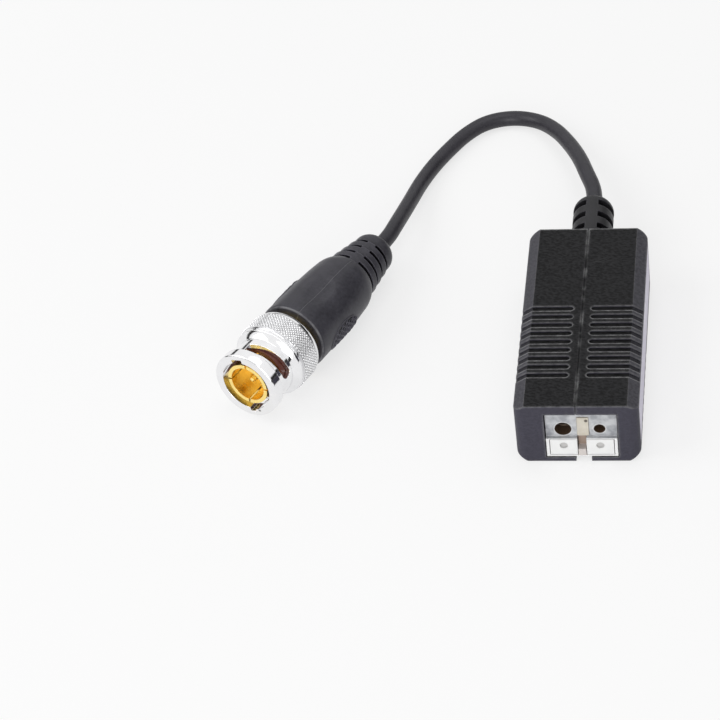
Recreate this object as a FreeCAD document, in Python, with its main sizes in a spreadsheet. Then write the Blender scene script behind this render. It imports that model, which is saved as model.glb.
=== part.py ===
import FreeCAD, Part
import math
import os
import re
import Sketcher
from FreeCAD import Vector

# Passive video balun: a two-half moulded case with a push terminal at one end and a
# short lead with a bayonet plug at the other.
# Frame: the origin is the bottom centre of the case, +Y points from the terminal end
# to the lead's end, +X is the label's side and +Z is up. Lengths are millimetres.
# The plug's own pieces are made along +X from the nut's front edge (station 0) to the
# sleeve's tail, and one placement lays them on the table.

SIZES = {
    # Case: two half shells
    "case_width": 21.5,
    "case_length": 48.0,
    "case_height": 12.7,
    "edge_run": 1.9,
    "edge_drop": 1.25,
    "corner_radius": 1.8,
    "side_wall": 1.3,
    "end_wall": 1.6,
    "floor_wall": 0.85,
    "roof_wall": 1.15,
    "inner_edge": 0.7,
    "seam_width": 0.12,
    "seam_depth": 0.15,
    # Grooves moulded across the top and the bottom of each half
    "groove_count": 9,
    "groove_pitch": 2.2,
    "groove_width": 1.2,
    "groove_depth": 0.38,
    "groove_start": 7.54,
    "groove_inset": 1.55,
    # Pegs that line the halves up
    "peg_radius": 0.8,
    "peg_length": 1.5,
    "peg_clearance": 0.1,
    "boss_wall": 0.8,
    "boss_height": 3.2,
    "boss_front_gap": 2.6,
    "boss_rear_inset": 8.0,
    # Label in its recess
    "recess_length": 44.4,
    "recess_height": 8.8,
    "recess_depth": 0.3,
    "label_margin": 0.35,
    "label_thick": 0.28,
    # Circuit board against the roof, on rails
    "board_thick": 0.8,
    "board_side_gap": 0.65,
    "board_front_inset": 4.0,
    "board_rear_inset": 4.5,
    "board_clearance": 0.1,
    "rail_height": 0.8,
    "rail_grip": 0.6,
    "pin_clearance": 0.1,
    # Terminal block in the end wall
    "terminal_shift": 0.7,
    "block_width": 12.3,
    "block_side_gap": 0.15,
    "block_floor_gap": 0.15,
    "block_upper_inset": 0.9,
    "block_lip_inset": 0.15,
    "ledge_margin": 0.18,
    "block_length": 11.0,
    "block_front_wall": 2.2,
    "block_roof": 1.1,
    "pole_inset": 3.0,
    "entry_margin": 0.15,
    "entry_left_radius": 1.45,
    "entry_right_radius": 1.0,
    "notch_shift": 0.9,
    "notch_width": 2.7,
    "notch_depth": 5.0,
    # Divider and the small recess under it
    "divider_width": 2.0,
    "divider_shift": 0.3,
    "divider_lift": 0.25,
    "divider_depth": 1.2,
    "divider_proud": 0.25,
    "divider_top_drop": 1.3,
    "divider_fit": 0.04,
    "brown_width": 1.6,
    "brown_height": 2.5,
    "brown_depth": 1.3,
    # Push buttons
    "button_width": 4.7,
    "button_height": 3.4,
    "button_foot": 0.45,
    "button_gap": 0.12,
    "button_shoulder": 0.75,
    "button_shoulder_thick": 1.2,
    "button_nose": 1.1,
    "dimple_radius": 0.7,
    "dimple_depth": 0.35,
    "dimple_rise": 0.35,
    # Contact strips and leaf springs
    "contact_thick": 0.4,
    "contact_width": 3.2,
    "contact_reach": 6.4,
    "contact_drop": 5.4,
    "contact_lift": 0.25,
    "pin_radius": 0.4,
    "pin_back": 2.2,
    "leaf_thick": 0.3,
    "leaf_width": 2.8,
    "leaf_gap": 0.1,
    "leaf_low": 2.0,
    "leaf_rear_rise": 3.6,
    "leaf_front_rise": 3.0,
    # Parts under the board
    "core_outer": 4.0,
    "core_inner": 2.0,
    "core_height": 4.0,
    "core_across": 0.0,
    "core_along": 2.0,
    "winding_thick": 0.4,
    "winding_gap": 0.05,
    "winding_angle": 125.0,
    "capacitor_radius": 2.5,
    "capacitor_thick": 2.2,
    "capacitor_gap": 5.6,
    "capacitor_across": 4.6,
    "capacitor_pins": 2.5,
    "diode_length": 3.8,
    "diode_width": 2.4,
    "diode_height": 2.0,
    "diode_inset": 13.5,
    "diode_across": 3.6,
    # Strain relief at the case
    "lead_axis": 6.35,
    "relief_radius": 3.8,
    "relief_length": 14.5,
    "relief_tip": 2.2,
    "relief_slots": 3,
    "relief_slot": 1.5,
    "relief_slot_first": 4.5,
    "relief_slot_pitch": 3.4,
    "relief_core": 2.5,
    "relief_web": 2.25,
    "relief_step_radius": 4.5,
    "relief_step": 1.6,
    "relief_collar_radius": 5.45,
    "relief_collar": 0.8,
    "relief_neck_radius": 3.9,
    "relief_neck_gap": 0.05,
    "relief_flange_radius": 4.9,
    "relief_flange": 1.5,
    "relief_bore": 1.2,
    # Cable and its two leads
    "cable_diameter": 3.0,
    "lead_radius": 0.53,
    "lead_spread": 0.58,
    "lead_hole_spread": 1.4,
    "lead_hole_inset": 7.5,
    # Plug as it lies: place of the nut's front, heading and what rests on the table
    "plug_front_across": -59.2,
    "plug_front_along": -12.7,
    "plug_heading": 64.75,
    "plug_rest_gap": 0.02,
    "nut_roll": 74.0,
    "sleeve_roll": 18.0,
    # Coupling nut
    "nut_length": 13.7,
    "nut_bore": 4.9,
    "rim_radius": 6.5,
    "rim_length": 2.1,
    "rim_round": 0.3,
    "barrel_radius": 5.8,
    "barrel_end": 6.5,
    "bead_radius": 6.9,
    "bead_start": 7.45,
    "bead_end": 7.95,
    "bead_groove_radius": 6.55,
    "knurl_start": 8.4,
    "knurl_radius": 7.15,
    "knurl_end": 12.7,
    "nut_rear_radius": 6.6,
    "nut_flange": 2.6,
    "nut_flange_bore": 4.1,
    "slot_width": 2.2,
    "slot_station": 3.5,
    "slot_rise": 1.2,
    "slot_turn": 90.0,
    "entry_groove_radius": 5.5,
    # Outer contact and what sits on it
    "contact_front": 0.5,
    "contact_outer": 4.1,
    "contact_inner": 3.4,
    "finger_slot": 0.35,
    "finger_length": 4.3,
    "body_flange_start": 8.0,
    "body_flange_radius": 4.75,
    "body_flange": 1.2,
    "body_neck": 4.0,
    "stub_radius": 3.0,
    "stub_end": 17.5,
    "barb_radius": 2.2,
    "barb_end": 23.0,
    "barb_bore": 1.0,
    "socket_end": 12.6,
    "gasket_length": 3.4,
    "gasket_radius": 4.8,
    "ring_clearance": 0.05,
    "wave_height": 1.2,
    "wave_thick": 0.3,
    "washer_radius": 4.8,
    "washer_thick": 0.5,
    "washer_gap": 0.05,
    "collar_radius": 4.95,
    "collar_gap": 0.15,
    "insulator_front": 6.0,
    "pin_front": 1.9,
    "centre_pin_radius": 0.685,
    "ferrule_wall": 0.6,
    "core_radius": 1.45,
    "inner_core_radius": 0.9,
    # Moulded sleeve with its slotted tail
    "sleeve_start": 15.2,
    "sleeve_radius": 6.7,
    "sleeve_round": 0.6,
    "shoulder_station": 24.0,
    "shoulder_radius": 6.6,
    "waist_station": 29.0,
    "waist_radius": 6.35,
    "throat_station": 31.8,
    "throat_radius": 6.1,
    "sleeve_end": 34.25,
    "sleeve_end_radius": 5.3,
    "tail_end": 45.3,
    "tail_radius": 4.0,
    "tail_tip": 2.4,
    "tail_slot": 0.9,
    "tail_slot_pitch": 2.2,
    "tail_slots": 4,
    "tail_step": 0.33,
    "tail_core": 3.0,
    "tail_web": 1.5,
    "thumb_station": 23.0,
    "thumb_depth": 0.45,
    "thumb_length": 7.0,
    "thumb_width": 6.5,
    "thumb_rise": 2.0,
}

# Lengths that several pieces share, each worked out from the sizes above
BOARD_UNDER = "(case_height - roof_wall - board_thick)"
BOARD_HALF = "(case_width / 2 - side_wall - board_side_gap)"
POLE_HALF = "(block_width / 2 - pole_inset)"
BLOCK_UPPER = "(-case_length / 2 + block_upper_inset)"
BLOCK_LIP = "(-case_length / 2 + block_lip_inset)"
BLOCK_REAR = f"({BLOCK_UPPER} + block_length)"
BLOCK_BOTTOM = "(floor_wall + block_floor_gap)"
CHAMBER_FRONT = f"({BLOCK_UPPER} + block_front_wall)"
CHAMBER_TOP = f"({BOARD_UNDER} - block_roof)"
BUTTON_LOW = f"({BLOCK_BOTTOM} + button_foot)"
BUTTON_HIGH = f"({BUTTON_LOW} + button_height)"
POCKET_LOW = f"({BUTTON_LOW} - button_gap)"
POCKET_HIGH = f"({BUTTON_HIGH} + button_gap)"
LEDGE = f"({POCKET_HIGH} + ledge_margin)"
ENTRY_HEIGHT = f"({LEDGE} + entry_left_radius + entry_margin)"
DIVIDER_LOW = f"({LEDGE} + divider_lift)"
DIVIDER_TOP = f"({BOARD_UNDER} - divider_top_drop)"
DIVIDER_ACROSS = "(terminal_shift + divider_shift)"
SHOULDER_REAR = f"({CHAMBER_FRONT} + button_gap + button_shoulder_thick)"
NOSE_REAR = f"({SHOULDER_REAR} + button_nose)"
CONTACT_TOP = f"({CHAMBER_TOP} - contact_lift)"
CONTACT_REAR = f"({BLOCK_REAR} - contact_lift)"
PIN_ALONG = f"({CONTACT_REAR} - pin_back)"
INNER_END = "(case_length / 2 - end_wall)"
BOSS_FRONT = f"({BLOCK_REAR} + boss_front_gap)"
BOSS_REAR = "(case_length / 2 - boss_rear_inset)"
CAPACITOR_ALONG = f"({BLOCK_REAR} + capacitor_gap)"
DIODE_ALONG = "(case_length / 2 - diode_inset)"
LEAD_HOLE_ALONG = "(case_length / 2 - lead_hole_inset)"
RELIEF_END = "(case_length / 2 + relief_length)"
TILT = "atan((knurl_radius - waist_radius) / (waist_station - knurl_end))"
PLUG_HEIGHT = f"(plug_rest_gap + knurl_radius * cos({TILT}) + knurl_end * sin({TILT}))"
FLANGE_REAR = "(body_flange_start + body_flange)"
WASHER_FRONT = f"({FLANGE_REAR} + 2 * washer_gap + wave_height)"
NUT_FLANGE_FRONT = "(nut_length - nut_flange)"
CORE_MIDDLE = f"({BOARD_UNDER} - core_height / 2 - winding_thick - winding_gap)"
CENTRE_RADIUS = "(core_radius + ring_clearance)"
FERRULE_START = "(stub_end + ring_clearance)"
FERRULE_END = "(barb_end + 3 * ring_clearance)"
FERRULE_RADIUS = "(barb_radius + ring_clearance + ferrule_wall)"

document = FreeCAD.newDocument("balun")
sheet = document.addObject("Spreadsheet::Sheet", "Sizes")
for row, (alias, size) in enumerate(SIZES.items(), start=1):
    sheet.set(f"A{row}", alias)
    sheet.set(f"B{row}", str(size))
    sheet.setAlias(f"B{row}", alias)
document.recompute()

parts = []


def bound(text):
    """The text of a size with each named cell written as the sheet knows it."""
    def cell(word):
        return f"Sizes.{word[0]}" if word[0] in SIZES else word[0]

    return re.sub(r"[a-z][a-z_]+", cell, str(text))


def number(text):
    """The present value of a size."""
    value = sheet.evalExpression(bound(text))
    return float(getattr(value, "Value", value))


def new_body(name):
    """An empty body for one node."""
    body = document.addObject("PartDesign::Body", name)
    body.Label = name
    parts.append(body)
    return body


def origin_feature(body, role):
    """One of the body's own planes or axes."""
    return next(item for item in body.Origin.OriginFeatures if item.Role == role)


def sketch_on(body, name, role, offset="0"):
    """A sketch on one of the body's planes, moved along that plane's normal."""
    sketch = body.newObject("Sketcher::SketchObject", name)
    sketch.AttachmentSupport = (origin_feature(body, role), [""])
    sketch.MapMode = "FlatFace"
    sketch.setExpression(".AttachmentOffset.Base.z", bound(offset))
    return sketch


def bind(sketch, kind, geometry, point, key, text):
    """One dimension of a sketch, tied to its size."""
    place = (geometry, number(text)) if point is None else (geometry, point, number(text))
    constraint = sketch.addConstraint(Sketcher.Constraint(kind, *place))
    sketch.renameConstraint(constraint, key)
    sketch.setExpression(f"Constraints.{key}", bound(text))


def arc_between(start, end, radius, turn):
    """The short arc from start to end, with its centre on the left where turn is 1."""
    middle = (start + end) * 0.5
    chord = end - start
    normal = Vector(-chord.y, chord.x, 0).normalize() * turn
    centre = middle + normal * math.sqrt(radius ** 2 - (chord.Length / 2) ** 2)
    first, last = (start, end) if turn > 0 else (end, start)
    angles = [math.atan2(point.y - centre.y, point.x - centre.x) for point in (first, last)]
    return Part.ArcOfCircle(Part.Circle(centre, Vector(0, 0, 1), radius), *angles)


def outline(sketch, corners):
    """A closed outline. A corner is (x, y), or (x, y, radius, turn) where an arc follows it."""
    points = [Vector(number(corner[0]), number(corner[1]), 0) for corner in corners]
    ends = []
    for index, corner in enumerate(corners):
        here, there = points[index], points[(index + 1) % len(points)]
        if len(corner) == 4:
            geometry = sketch.addGeometry(arc_between(here, there, number(corner[2]), corner[3]))
            ends.append((geometry, 1, 2) if corner[3] > 0 else (geometry, 2, 1))
            bind(sketch, "Radius", geometry, None, f"radius{geometry}", corner[2])
        else:
            geometry = sketch.addGeometry(Part.LineSegment(here, there))
            ends.append((geometry, 1, 2))
    for index, corner in enumerate(corners):
        geometry, start, _ = ends[index]
        before, _, finish = ends[index - 1]
        sketch.addConstraint(Sketcher.Constraint("Coincident", before, finish, geometry, start))
        bind(sketch, "DistanceX", geometry, start, f"across{geometry}", corner[0])
        bind(sketch, "DistanceY", geometry, start, f"up{geometry}", corner[1])


def box_outline(sketch, left, right, low, high):
    """A closed rectangle."""
    outline(sketch, [(left, low), (right, low), (right, high), (left, high)])


def circle(sketch, across, up, radius):
    """A circle with its centre and radius tied to sizes."""
    shape = Part.Circle(Vector(number(across), number(up), 0), Vector(0, 0, 1), number(radius))
    geometry = sketch.addGeometry(shape)
    bind(sketch, "DistanceX", geometry, 3, f"across{geometry}", across)
    bind(sketch, "DistanceY", geometry, 3, f"up{geometry}", up)
    bind(sketch, "Radius", geometry, None, f"radius{geometry}", radius)


def extruded(body, kind, sketch, length, both_ways=False, backwards=False):
    """A pad or a pocket of a sketch. A pocket has to take something away."""
    volume = body.Shape.Volume if kind == "Pocket" else 0
    feature = body.newObject(f"PartDesign::{kind}", f"{sketch.Name}_{kind.lower()}")
    feature.Profile = sketch
    feature.SideType = "Symmetric" if both_ways else "One side"
    feature.Reversed = backwards
    feature.setExpression("Length", bound(length))
    document.recompute()
    if kind == "Pocket" and body.Shape.Volume > volume - 1e-4:
        raise ValueError(f"{feature.Name} of {body.Label} cuts nothing")
    return feature


def turned(body, kind, sketch, axis, angle="360", midplane=False):
    """A revolution, or a groove cut by one, about an axis of its sketch."""
    volume = body.Shape.Volume if kind == "Groove" else 0
    feature = body.newObject(f"PartDesign::{kind}", f"{sketch.Name}_{kind.lower()}")
    feature.Profile = sketch
    feature.ReferenceAxis = (sketch, [axis])
    feature.Midplane = midplane
    feature.setExpression("Angle", bound(angle))
    document.recompute()
    if kind == "Groove" and body.Shape.Volume > volume - 1e-4:
        raise ValueError(f"{feature.Name} of {body.Label} cuts nothing")
    return feature


def in_line(body, originals, role, pitch, count):
    """Copies of features, evenly spaced along one of the body's axes."""
    pattern = body.newObject("PartDesign::LinearPattern", f"{originals[0].Name}_row")
    pattern.Originals = originals
    pattern.Direction = (origin_feature(body, role), [""])
    pattern.setExpression("Occurrences", bound(count))
    pattern.setExpression("Length", bound(f"({count} - 1) * {pitch}"))
    body.Tip = pattern
    document.recompute()


def around(body, originals, role, count):
    """Copies of features, evenly spaced about one of the body's axes."""
    pattern = body.newObject("PartDesign::PolarPattern", f"{originals[0].Name}_ring")
    pattern.Originals = originals
    pattern.Axis = (origin_feature(body, role), [""])
    pattern.Angle = 360
    pattern.Occurrences = count
    body.Tip = pattern
    document.recompute()


def lay_on_plug(body, roll="0"):
    """Places a piece that was made along the plug's axis."""
    place = f"vector(plug_front_across; plug_front_along; {PLUG_HEIGHT})"
    body.setExpression("Placement", bound(f"placement({place}; rotation(plug_heading; {TILT}; {roll}))"))


def ring_on_plug(name, corners, roll="0"):
    """A piece turned about the plug's axis from its (station, radius) outline."""
    body = new_body(name)
    sketch = sketch_on(body, f"{name}_section", "XY_Plane")
    outline(sketch, corners)
    turned(body, "Revolution", sketch, "H_Axis")
    lay_on_plug(body, roll)
    return body


def add_shape(name, shape):
    """A node whose shape is set directly."""
    feature = document.addObject("Part::Feature", name)
    feature.Label = name
    feature.Shape = shape
    feature.Placement = FreeCAD.Placement()
    parts.append(feature)
    return feature


def rounded_path(points, fraction=0.45):
    """Straight runs joined by tangent arcs, each arc as large as its two runs allow."""
    edges = []
    radii = []
    start = points[0]
    for before, corner, after in zip(points, points[1:], points[2:]):
        inward = (before - corner).normalize()
        outward = (after - corner).normalize()
        run = min((before - corner).Length, (after - corner).Length)
        half_turn = (math.pi - inward.getAngle(outward)) / 2
        reach = fraction * run
        radius = reach / math.tan(half_turn)
        radii.append(radius)
        bisector = (inward + outward).normalize()
        centre = corner + bisector * (radius / math.cos(half_turn))
        first = corner + inward * reach
        last = corner + outward * reach
        edges.append(Part.LineSegment(start, first).toShape())
        edges.append(Part.Arc(first, centre - bisector * radius, last).toShape())
        start = last
    edges.append(Part.LineSegment(start, points[-1]).toShape())
    return Part.Wire(edges), radii


def tube(points, radius):
    """A round solid along a path through the points."""
    path, radii = rounded_path(points)
    section = Part.Wire(Part.Circle(points[0], points[1] - points[0], radius).toShape())
    return path.makePipeShell([section], True, False), path.Length, radii


def bent_strip(points, thickness, width, middle):
    """A strip of sheet bent along (along, up) points, as wide as given about one place across."""
    corners = [Vector(middle - width / 2, along, up) for along, up in points]
    face = Part.makePolygon(corners).makeOffset2D(thickness, 0, True, True)
    return face.extrude(Vector(width, 0, 0))


def half_shell(name, side):
    """One half of the case: side is -1 for the left one and 1 for the right one."""
    body = new_body(name)
    half = f"{side} * case_width / 2"
    length_end = "case_length / 2"

    plan = sketch_on(body, f"{name}_plan", "XY_Plane")
    turn = side
    outline(plan, [
        ("0", f"-{length_end}"),
        (f"{half} - {side} * corner_radius", f"-{length_end}", "corner_radius", turn),
        (half, f"-{length_end} + corner_radius"),
        (half, f"{length_end} - corner_radius", "corner_radius", turn),
        (f"{half} - {side} * corner_radius", length_end),
        ("0", length_end),
    ])
    extruded(body, "Pad", plan, "case_height")

    edges = sketch_on(body, f"{name}_long_edges", "XZ_Plane")
    flat = f"{half} - {side} * edge_run"
    outline(edges, [(flat, "0"), (half, "edge_drop"), (half, "0")])
    outline(edges, [(flat, "case_height"), (half, "case_height"), (half, "case_height - edge_drop")])
    extruded(body, "Pocket", edges, "case_length + 2", both_ways=True)

    room = sketch_on(body, f"{name}_room", "XZ_Plane")
    inner = f"{half} - {side} * side_wall"
    outline(room, [
        ("0", "floor_wall"),
        (f"{inner} - {side} * inner_edge", "floor_wall"),
        (inner, "floor_wall + inner_edge"),
        (inner, "case_height - roof_wall"),
        ("0", "case_height - roof_wall"),
    ])
    extruded(body, "Pocket", room, "case_length - 2 * end_wall", both_ways=True)

    rail = sketch_on(body, f"{name}_rail", "XZ_Plane")
    box_outline(rail, inner, f"{side} * ({BOARD_HALF} - rail_grip)",
                f"{BOARD_UNDER} - rail_height", BOARD_UNDER)
    extruded(body, "Pad", rail, "case_length - 2 * end_wall", both_ways=True)

    mouth = sketch_on(body, f"{name}_terminal_mouth", "XZ_Plane", "case_length / 2 + 1")
    box_outline(mouth, "0", f"terminal_shift + {side} * (block_width / 2 + block_side_gap)",
                "floor_wall", BOARD_UNDER)
    extruded(body, "Pocket", mouth, f"case_length / 2 + 1 + {BLOCK_REAR}")

    notch = sketch_on(body, f"{name}_floor_notch", "XZ_Plane", "case_length / 2 + 1")
    box_outline(notch, "0", f"notch_shift + {side} * notch_width / 2", "-1", "floor_wall + 1")
    extruded(body, "Pocket", notch, "notch_depth + 1")

    collar_hole = sketch_on(body, f"{name}_lead_hole", "XZ_Plane", "-case_length / 2 - 1")
    circle(collar_hole, "0", "lead_axis", "relief_neck_radius + relief_neck_gap")
    extruded(body, "Pocket", collar_hole, "end_wall + 2", backwards=True)

    seam = sketch_on(body, f"{name}_seam", "YZ_Plane")
    box_outline(seam, f"-{length_end} - 1", f"{length_end} + 1", "-1", "case_height + 1")
    box_outline(seam, f"-{length_end} + seam_depth", f"{length_end} - seam_depth",
                "seam_depth", "case_height - seam_depth")
    extruded(body, "Pocket", seam, "seam_width", backwards=side > 0)

    first = "-case_length / 2 + groove_start + groove_width / 2"
    band = sketch_on(body, f"{name}_groove_band", "XZ_Plane", f"-({first})")
    start = f"{side} * (groove_inset + groove_width / 2)"
    far = f"{half} + {side}"
    slope = "groove_depth * edge_drop / edge_run"
    for low, way in (("0", 1), ("case_height", -1)):
        outline(band, [
            (start, f"{low} - {way}"),
            (start, f"{low} + {way} * groove_depth"),
            (flat, f"{low} + {way} * groove_depth"),
            (far, f"{low} + {way} * (groove_depth + (edge_run + 1) * edge_drop / edge_run)"),
            (far, f"{low} - {way}"),
        ])
    bands = extruded(body, "Pocket", band, "groove_width", both_ways=True)
    inner_ends = []
    for level, height, reverse in (("top", "case_height", False), ("bottom", "0", True)):
        end = sketch_on(body, f"{name}_groove_end_{level}", "XY_Plane", height)
        circle(end, start, first, "groove_width / 2")
        inner_ends.append(extruded(body, "Pocket", end, "groove_depth", backwards=reverse))
    in_line(body, [bands] + inner_ends, "Y_Axis", "groove_pitch", "groove_count")

    for key, along in (("front", BOSS_FRONT), ("rear", BOSS_REAR)):
        boss = sketch_on(body, f"{name}_boss_{key}", "YZ_Plane")
        circle(boss, along, "boss_height", "peg_radius + boss_wall")
        extruded(body, "Pad", boss, "case_width / 2 - side_wall", backwards=side < 0)
        if side < 0:
            peg = sketch_on(body, f"{name}_peg_{key}", "YZ_Plane")
            circle(peg, along, "boss_height", "peg_radius")
            extruded(body, "Pad", peg, "peg_length")
        else:
            socket = sketch_on(body, f"{name}_socket_{key}", "YZ_Plane")
            circle(socket, along, "boss_height", "peg_radius + peg_clearance")
            extruded(body, "Pocket", socket, "peg_length + 3 * peg_clearance", backwards=True)

    if side > 0:
        recess = sketch_on(body, f"{name}_label_recess", "YZ_Plane", "case_width / 2")
        box_outline(recess, "-recess_length / 2", "recess_length / 2",
                    "(case_height - recess_height) / 2", "(case_height + recess_height) / 2")
        extruded(body, "Pocket", recess, "recess_depth")
    return body


def make_label():
    """The sticker on the floor of its recess."""
    body = new_body("label_plate")
    sketch = sketch_on(body, "label_face", "YZ_Plane", "case_width / 2 - recess_depth")
    box_outline(sketch, "-recess_length / 2 + label_margin", "recess_length / 2 - label_margin",
                "(case_height - recess_height) / 2 + label_margin",
                "(case_height + recess_height) / 2 - label_margin")
    extruded(body, "Pad", sketch, "label_thick")


def make_grommet():
    """The strain relief: collar outside the wall, flange inside, and a slotted tube."""
    body = new_body("cable_grommet")
    wall = "case_length / 2"
    collar_end = f"({wall} + relief_collar)"
    step_end = f"({collar_end} + relief_step)"
    section = sketch_on(body, "grommet_section", "XY_Plane", "lead_axis")
    outline(section, [
        ("relief_bore", f"{INNER_END} - relief_flange"),
        ("relief_flange_radius", f"{INNER_END} - relief_flange"),
        ("relief_flange_radius", INNER_END),
        ("relief_neck_radius", INNER_END),
        ("relief_neck_radius", wall),
        ("relief_collar_radius", wall),
        ("relief_collar_radius", collar_end),
        ("relief_step_radius", collar_end),
        ("relief_step_radius", step_end),
        ("relief_radius", step_end),
        ("relief_radius", f"{RELIEF_END} - relief_tip", "relief_tip", 1),
        ("relief_radius - relief_tip", RELIEF_END),
        ("relief_bore", RELIEF_END),
    ])
    turned(body, "Revolution", section, "V_Axis")
    open_angle = "180 deg - 2 * asin(relief_web / 2 / relief_radius)"
    for name, side in (("right", 1), ("left", -1)):
        slots = sketch_on(body, f"grommet_slots_{name}", "XY_Plane", "lead_axis")
        for index in range(SIZES["relief_slots"]):
            middle = f"{wall} + relief_slot_first + {index} * relief_slot_pitch"
            box_outline(slots, f"{side} * relief_core", f"{side} * (relief_radius + 1)",
                        f"{middle} - relief_slot / 2", f"{middle} + relief_slot / 2")
        turned(body, "Groove", slots, "V_Axis", open_angle, midplane=True)


def make_board():
    """The circuit board, with holes for every pin and lead."""
    body = new_body("circuit_board")
    plan = sketch_on(body, "board_plan", "XY_Plane", BOARD_UNDER)
    box_outline(plan, f"-{BOARD_HALF}", BOARD_HALF,
                "-case_length / 2 + board_front_inset", "case_length / 2 - board_rear_inset")
    extruded(body, "Pad", plan, "board_thick")
    holes = sketch_on(body, "board_holes", "XY_Plane", "case_height")
    for side in (-1, 1):
        pole = f"terminal_shift + {side} * {POLE_HALF}"
        circle(holes, pole, PIN_ALONG, "pin_radius + pin_clearance")
        circle(holes, f"{side} * lead_hole_spread", LEAD_HOLE_ALONG, "lead_radius + pin_clearance")
        circle(holes, f"capacitor_across + {side} * capacitor_pins / 2", CAPACITOR_ALONG,
               "pin_radius + pin_clearance")
    extruded(body, "Pocket", holes, "case_height")


def make_transformer():
    """The ring core under the board, and its two windings as wrapped sectors."""
    core = new_body("transformer_core")
    section = sketch_on(core, "core_section", "XZ_Plane")
    box_outline(section, "core_inner", "core_outer", "-core_height / 2", "core_height / 2")
    turned(core, "Revolution", section, "V_Axis")
    place = f"vector(core_across; core_along; {CORE_MIDDLE})"
    core.setExpression("Placement", bound(f"placement({place}; rotation(0; 0; 0))"))
    for name, heading in (("primary_winding", "0"), ("secondary_winding", "180")):
        winding = new_body(name)
        wrap = sketch_on(winding, f"{name}_section", "XZ_Plane")
        for layer in ("winding_gap + winding_thick", "winding_gap"):
            box_outline(wrap, f"core_inner - ({layer})", f"core_outer + {layer}",
                        f"-core_height / 2 - ({layer})", f"core_height / 2 + {layer}")
        turned(winding, "Revolution", wrap, "V_Axis", "winding_angle", midplane=True)
        winding.setExpression("Placement", bound(f"placement({place}; rotation({heading}; 0; 0))"))


def make_capacitor():
    """A disc capacitor that hangs from the board by its two pins."""
    body = new_body("filter_capacitor")
    disc = sketch_on(body, "capacitor_disc", "XZ_Plane", f"-{CAPACITOR_ALONG}")
    circle(disc, "capacitor_across", f"{BOARD_UNDER} - capacitor_radius", "capacitor_radius")
    extruded(body, "Pad", disc, "capacitor_thick", both_ways=True)
    pins = sketch_on(body, "capacitor_leads", "XY_Plane", f"{BOARD_UNDER} - capacitor_radius")
    for side in (-1, 1):
        circle(pins, f"capacitor_across + {side} * capacitor_pins / 2", CAPACITOR_ALONG, "pin_radius")
    extruded(body, "Pad", pins, "capacitor_radius + board_thick - board_clearance")


def make_diodes():
    """Two surge diodes on the underside of the board."""
    blocks = []
    for side in (-1, 1):
        box = document.addObject("Part::Box", f"diode_block_{'left' if side < 0 else 'right'}")
        box.setExpression("Length", bound("diode_width"))
        box.setExpression("Width", bound("diode_length"))
        box.setExpression("Height", bound("diode_height"))
        corner = (f"vector(core_across + {side} * diode_across - diode_width / 2; "
                  f"{DIODE_ALONG} - diode_length / 2; {BOARD_UNDER} - diode_height)")
        box.setExpression("Placement", bound(f"placement({corner}; rotation(0; 0; 0))"))
        blocks.append(box)
    group = document.addObject("Part::Compound", "surge_diodes")
    group.Label = "surge_diodes"
    group.Links = blocks
    parts.append(group)


def make_terminal_block():
    """The insulator: stepped front, two entries, two button pockets and two chambers."""
    body = new_body("terminal_block")
    side_view = sketch_on(body, "block_side", "YZ_Plane", "terminal_shift")
    outline(side_view, [
        (BLOCK_LIP, BLOCK_BOTTOM),
        (BLOCK_REAR, BLOCK_BOTTOM),
        (BLOCK_REAR, BOARD_UNDER),
        (BLOCK_UPPER, BOARD_UNDER),
        (BLOCK_UPPER, LEDGE),
        (BLOCK_LIP, LEDGE),
    ])
    extruded(body, "Pad", side_view, "block_width", both_ways=True)

    pocket_half = "(button_width / 2 + button_gap)"
    chambers = sketch_on(body, "block_chambers", "XZ_Plane", f"-{BLOCK_REAR} - 1")
    fronts = sketch_on(body, "block_button_pockets", "XZ_Plane", "case_length / 2 + 1")
    entries = sketch_on(body, "block_entries", "XZ_Plane", "case_length / 2 + 1")
    pins = sketch_on(body, "block_pin_holes", "XY_Plane", "case_height")
    for side, radius in ((-1, "entry_left_radius"), (1, "entry_right_radius")):
        pole = f"terminal_shift + {side} * {POLE_HALF}"
        box_outline(chambers, f"{pole} - {pocket_half}", f"{pole} + {pocket_half}", POCKET_LOW, CHAMBER_TOP)
        box_outline(fronts, f"{pole} - {pocket_half}", f"{pole} + {pocket_half}", POCKET_LOW, POCKET_HIGH)
        circle(entries, pole, ENTRY_HEIGHT, radius)
        circle(pins, pole, PIN_ALONG, "pin_radius + pin_clearance")
    extruded(body, "Pocket", chambers, f"{BLOCK_REAR} + 1 - {CHAMBER_FRONT}", backwards=True)
    extruded(body, "Pocket", fronts, f"case_length / 2 + 1 + {CHAMBER_FRONT}")
    extruded(body, "Pocket", entries, f"case_length / 2 + 1 + {CHAMBER_FRONT}")
    extruded(body, "Pocket", pins, f"case_height - {CHAMBER_TOP} + 0.1")

    divider = sketch_on(body, "block_divider_slot", "XZ_Plane", "case_length / 2 + 1")
    box_outline(divider, f"{DIVIDER_ACROSS} - divider_width / 2 - divider_fit",
                f"{DIVIDER_ACROSS} + divider_width / 2 + divider_fit",
                f"{DIVIDER_LOW} - divider_fit", f"{DIVIDER_TOP} + divider_fit")
    extruded(body, "Pocket", divider, "1 + block_upper_inset + divider_depth")

    brown = sketch_on(body, "block_brown_recess", "XZ_Plane", "case_length / 2 + 1")
    box_outline(brown, "terminal_shift - brown_width / 2", "terminal_shift + brown_width / 2",
                f"{LEDGE} - brown_height", f"{LEDGE} + 0.1")
    extruded(body, "Pocket", brown, "1 + block_lip_inset + brown_depth")


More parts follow.
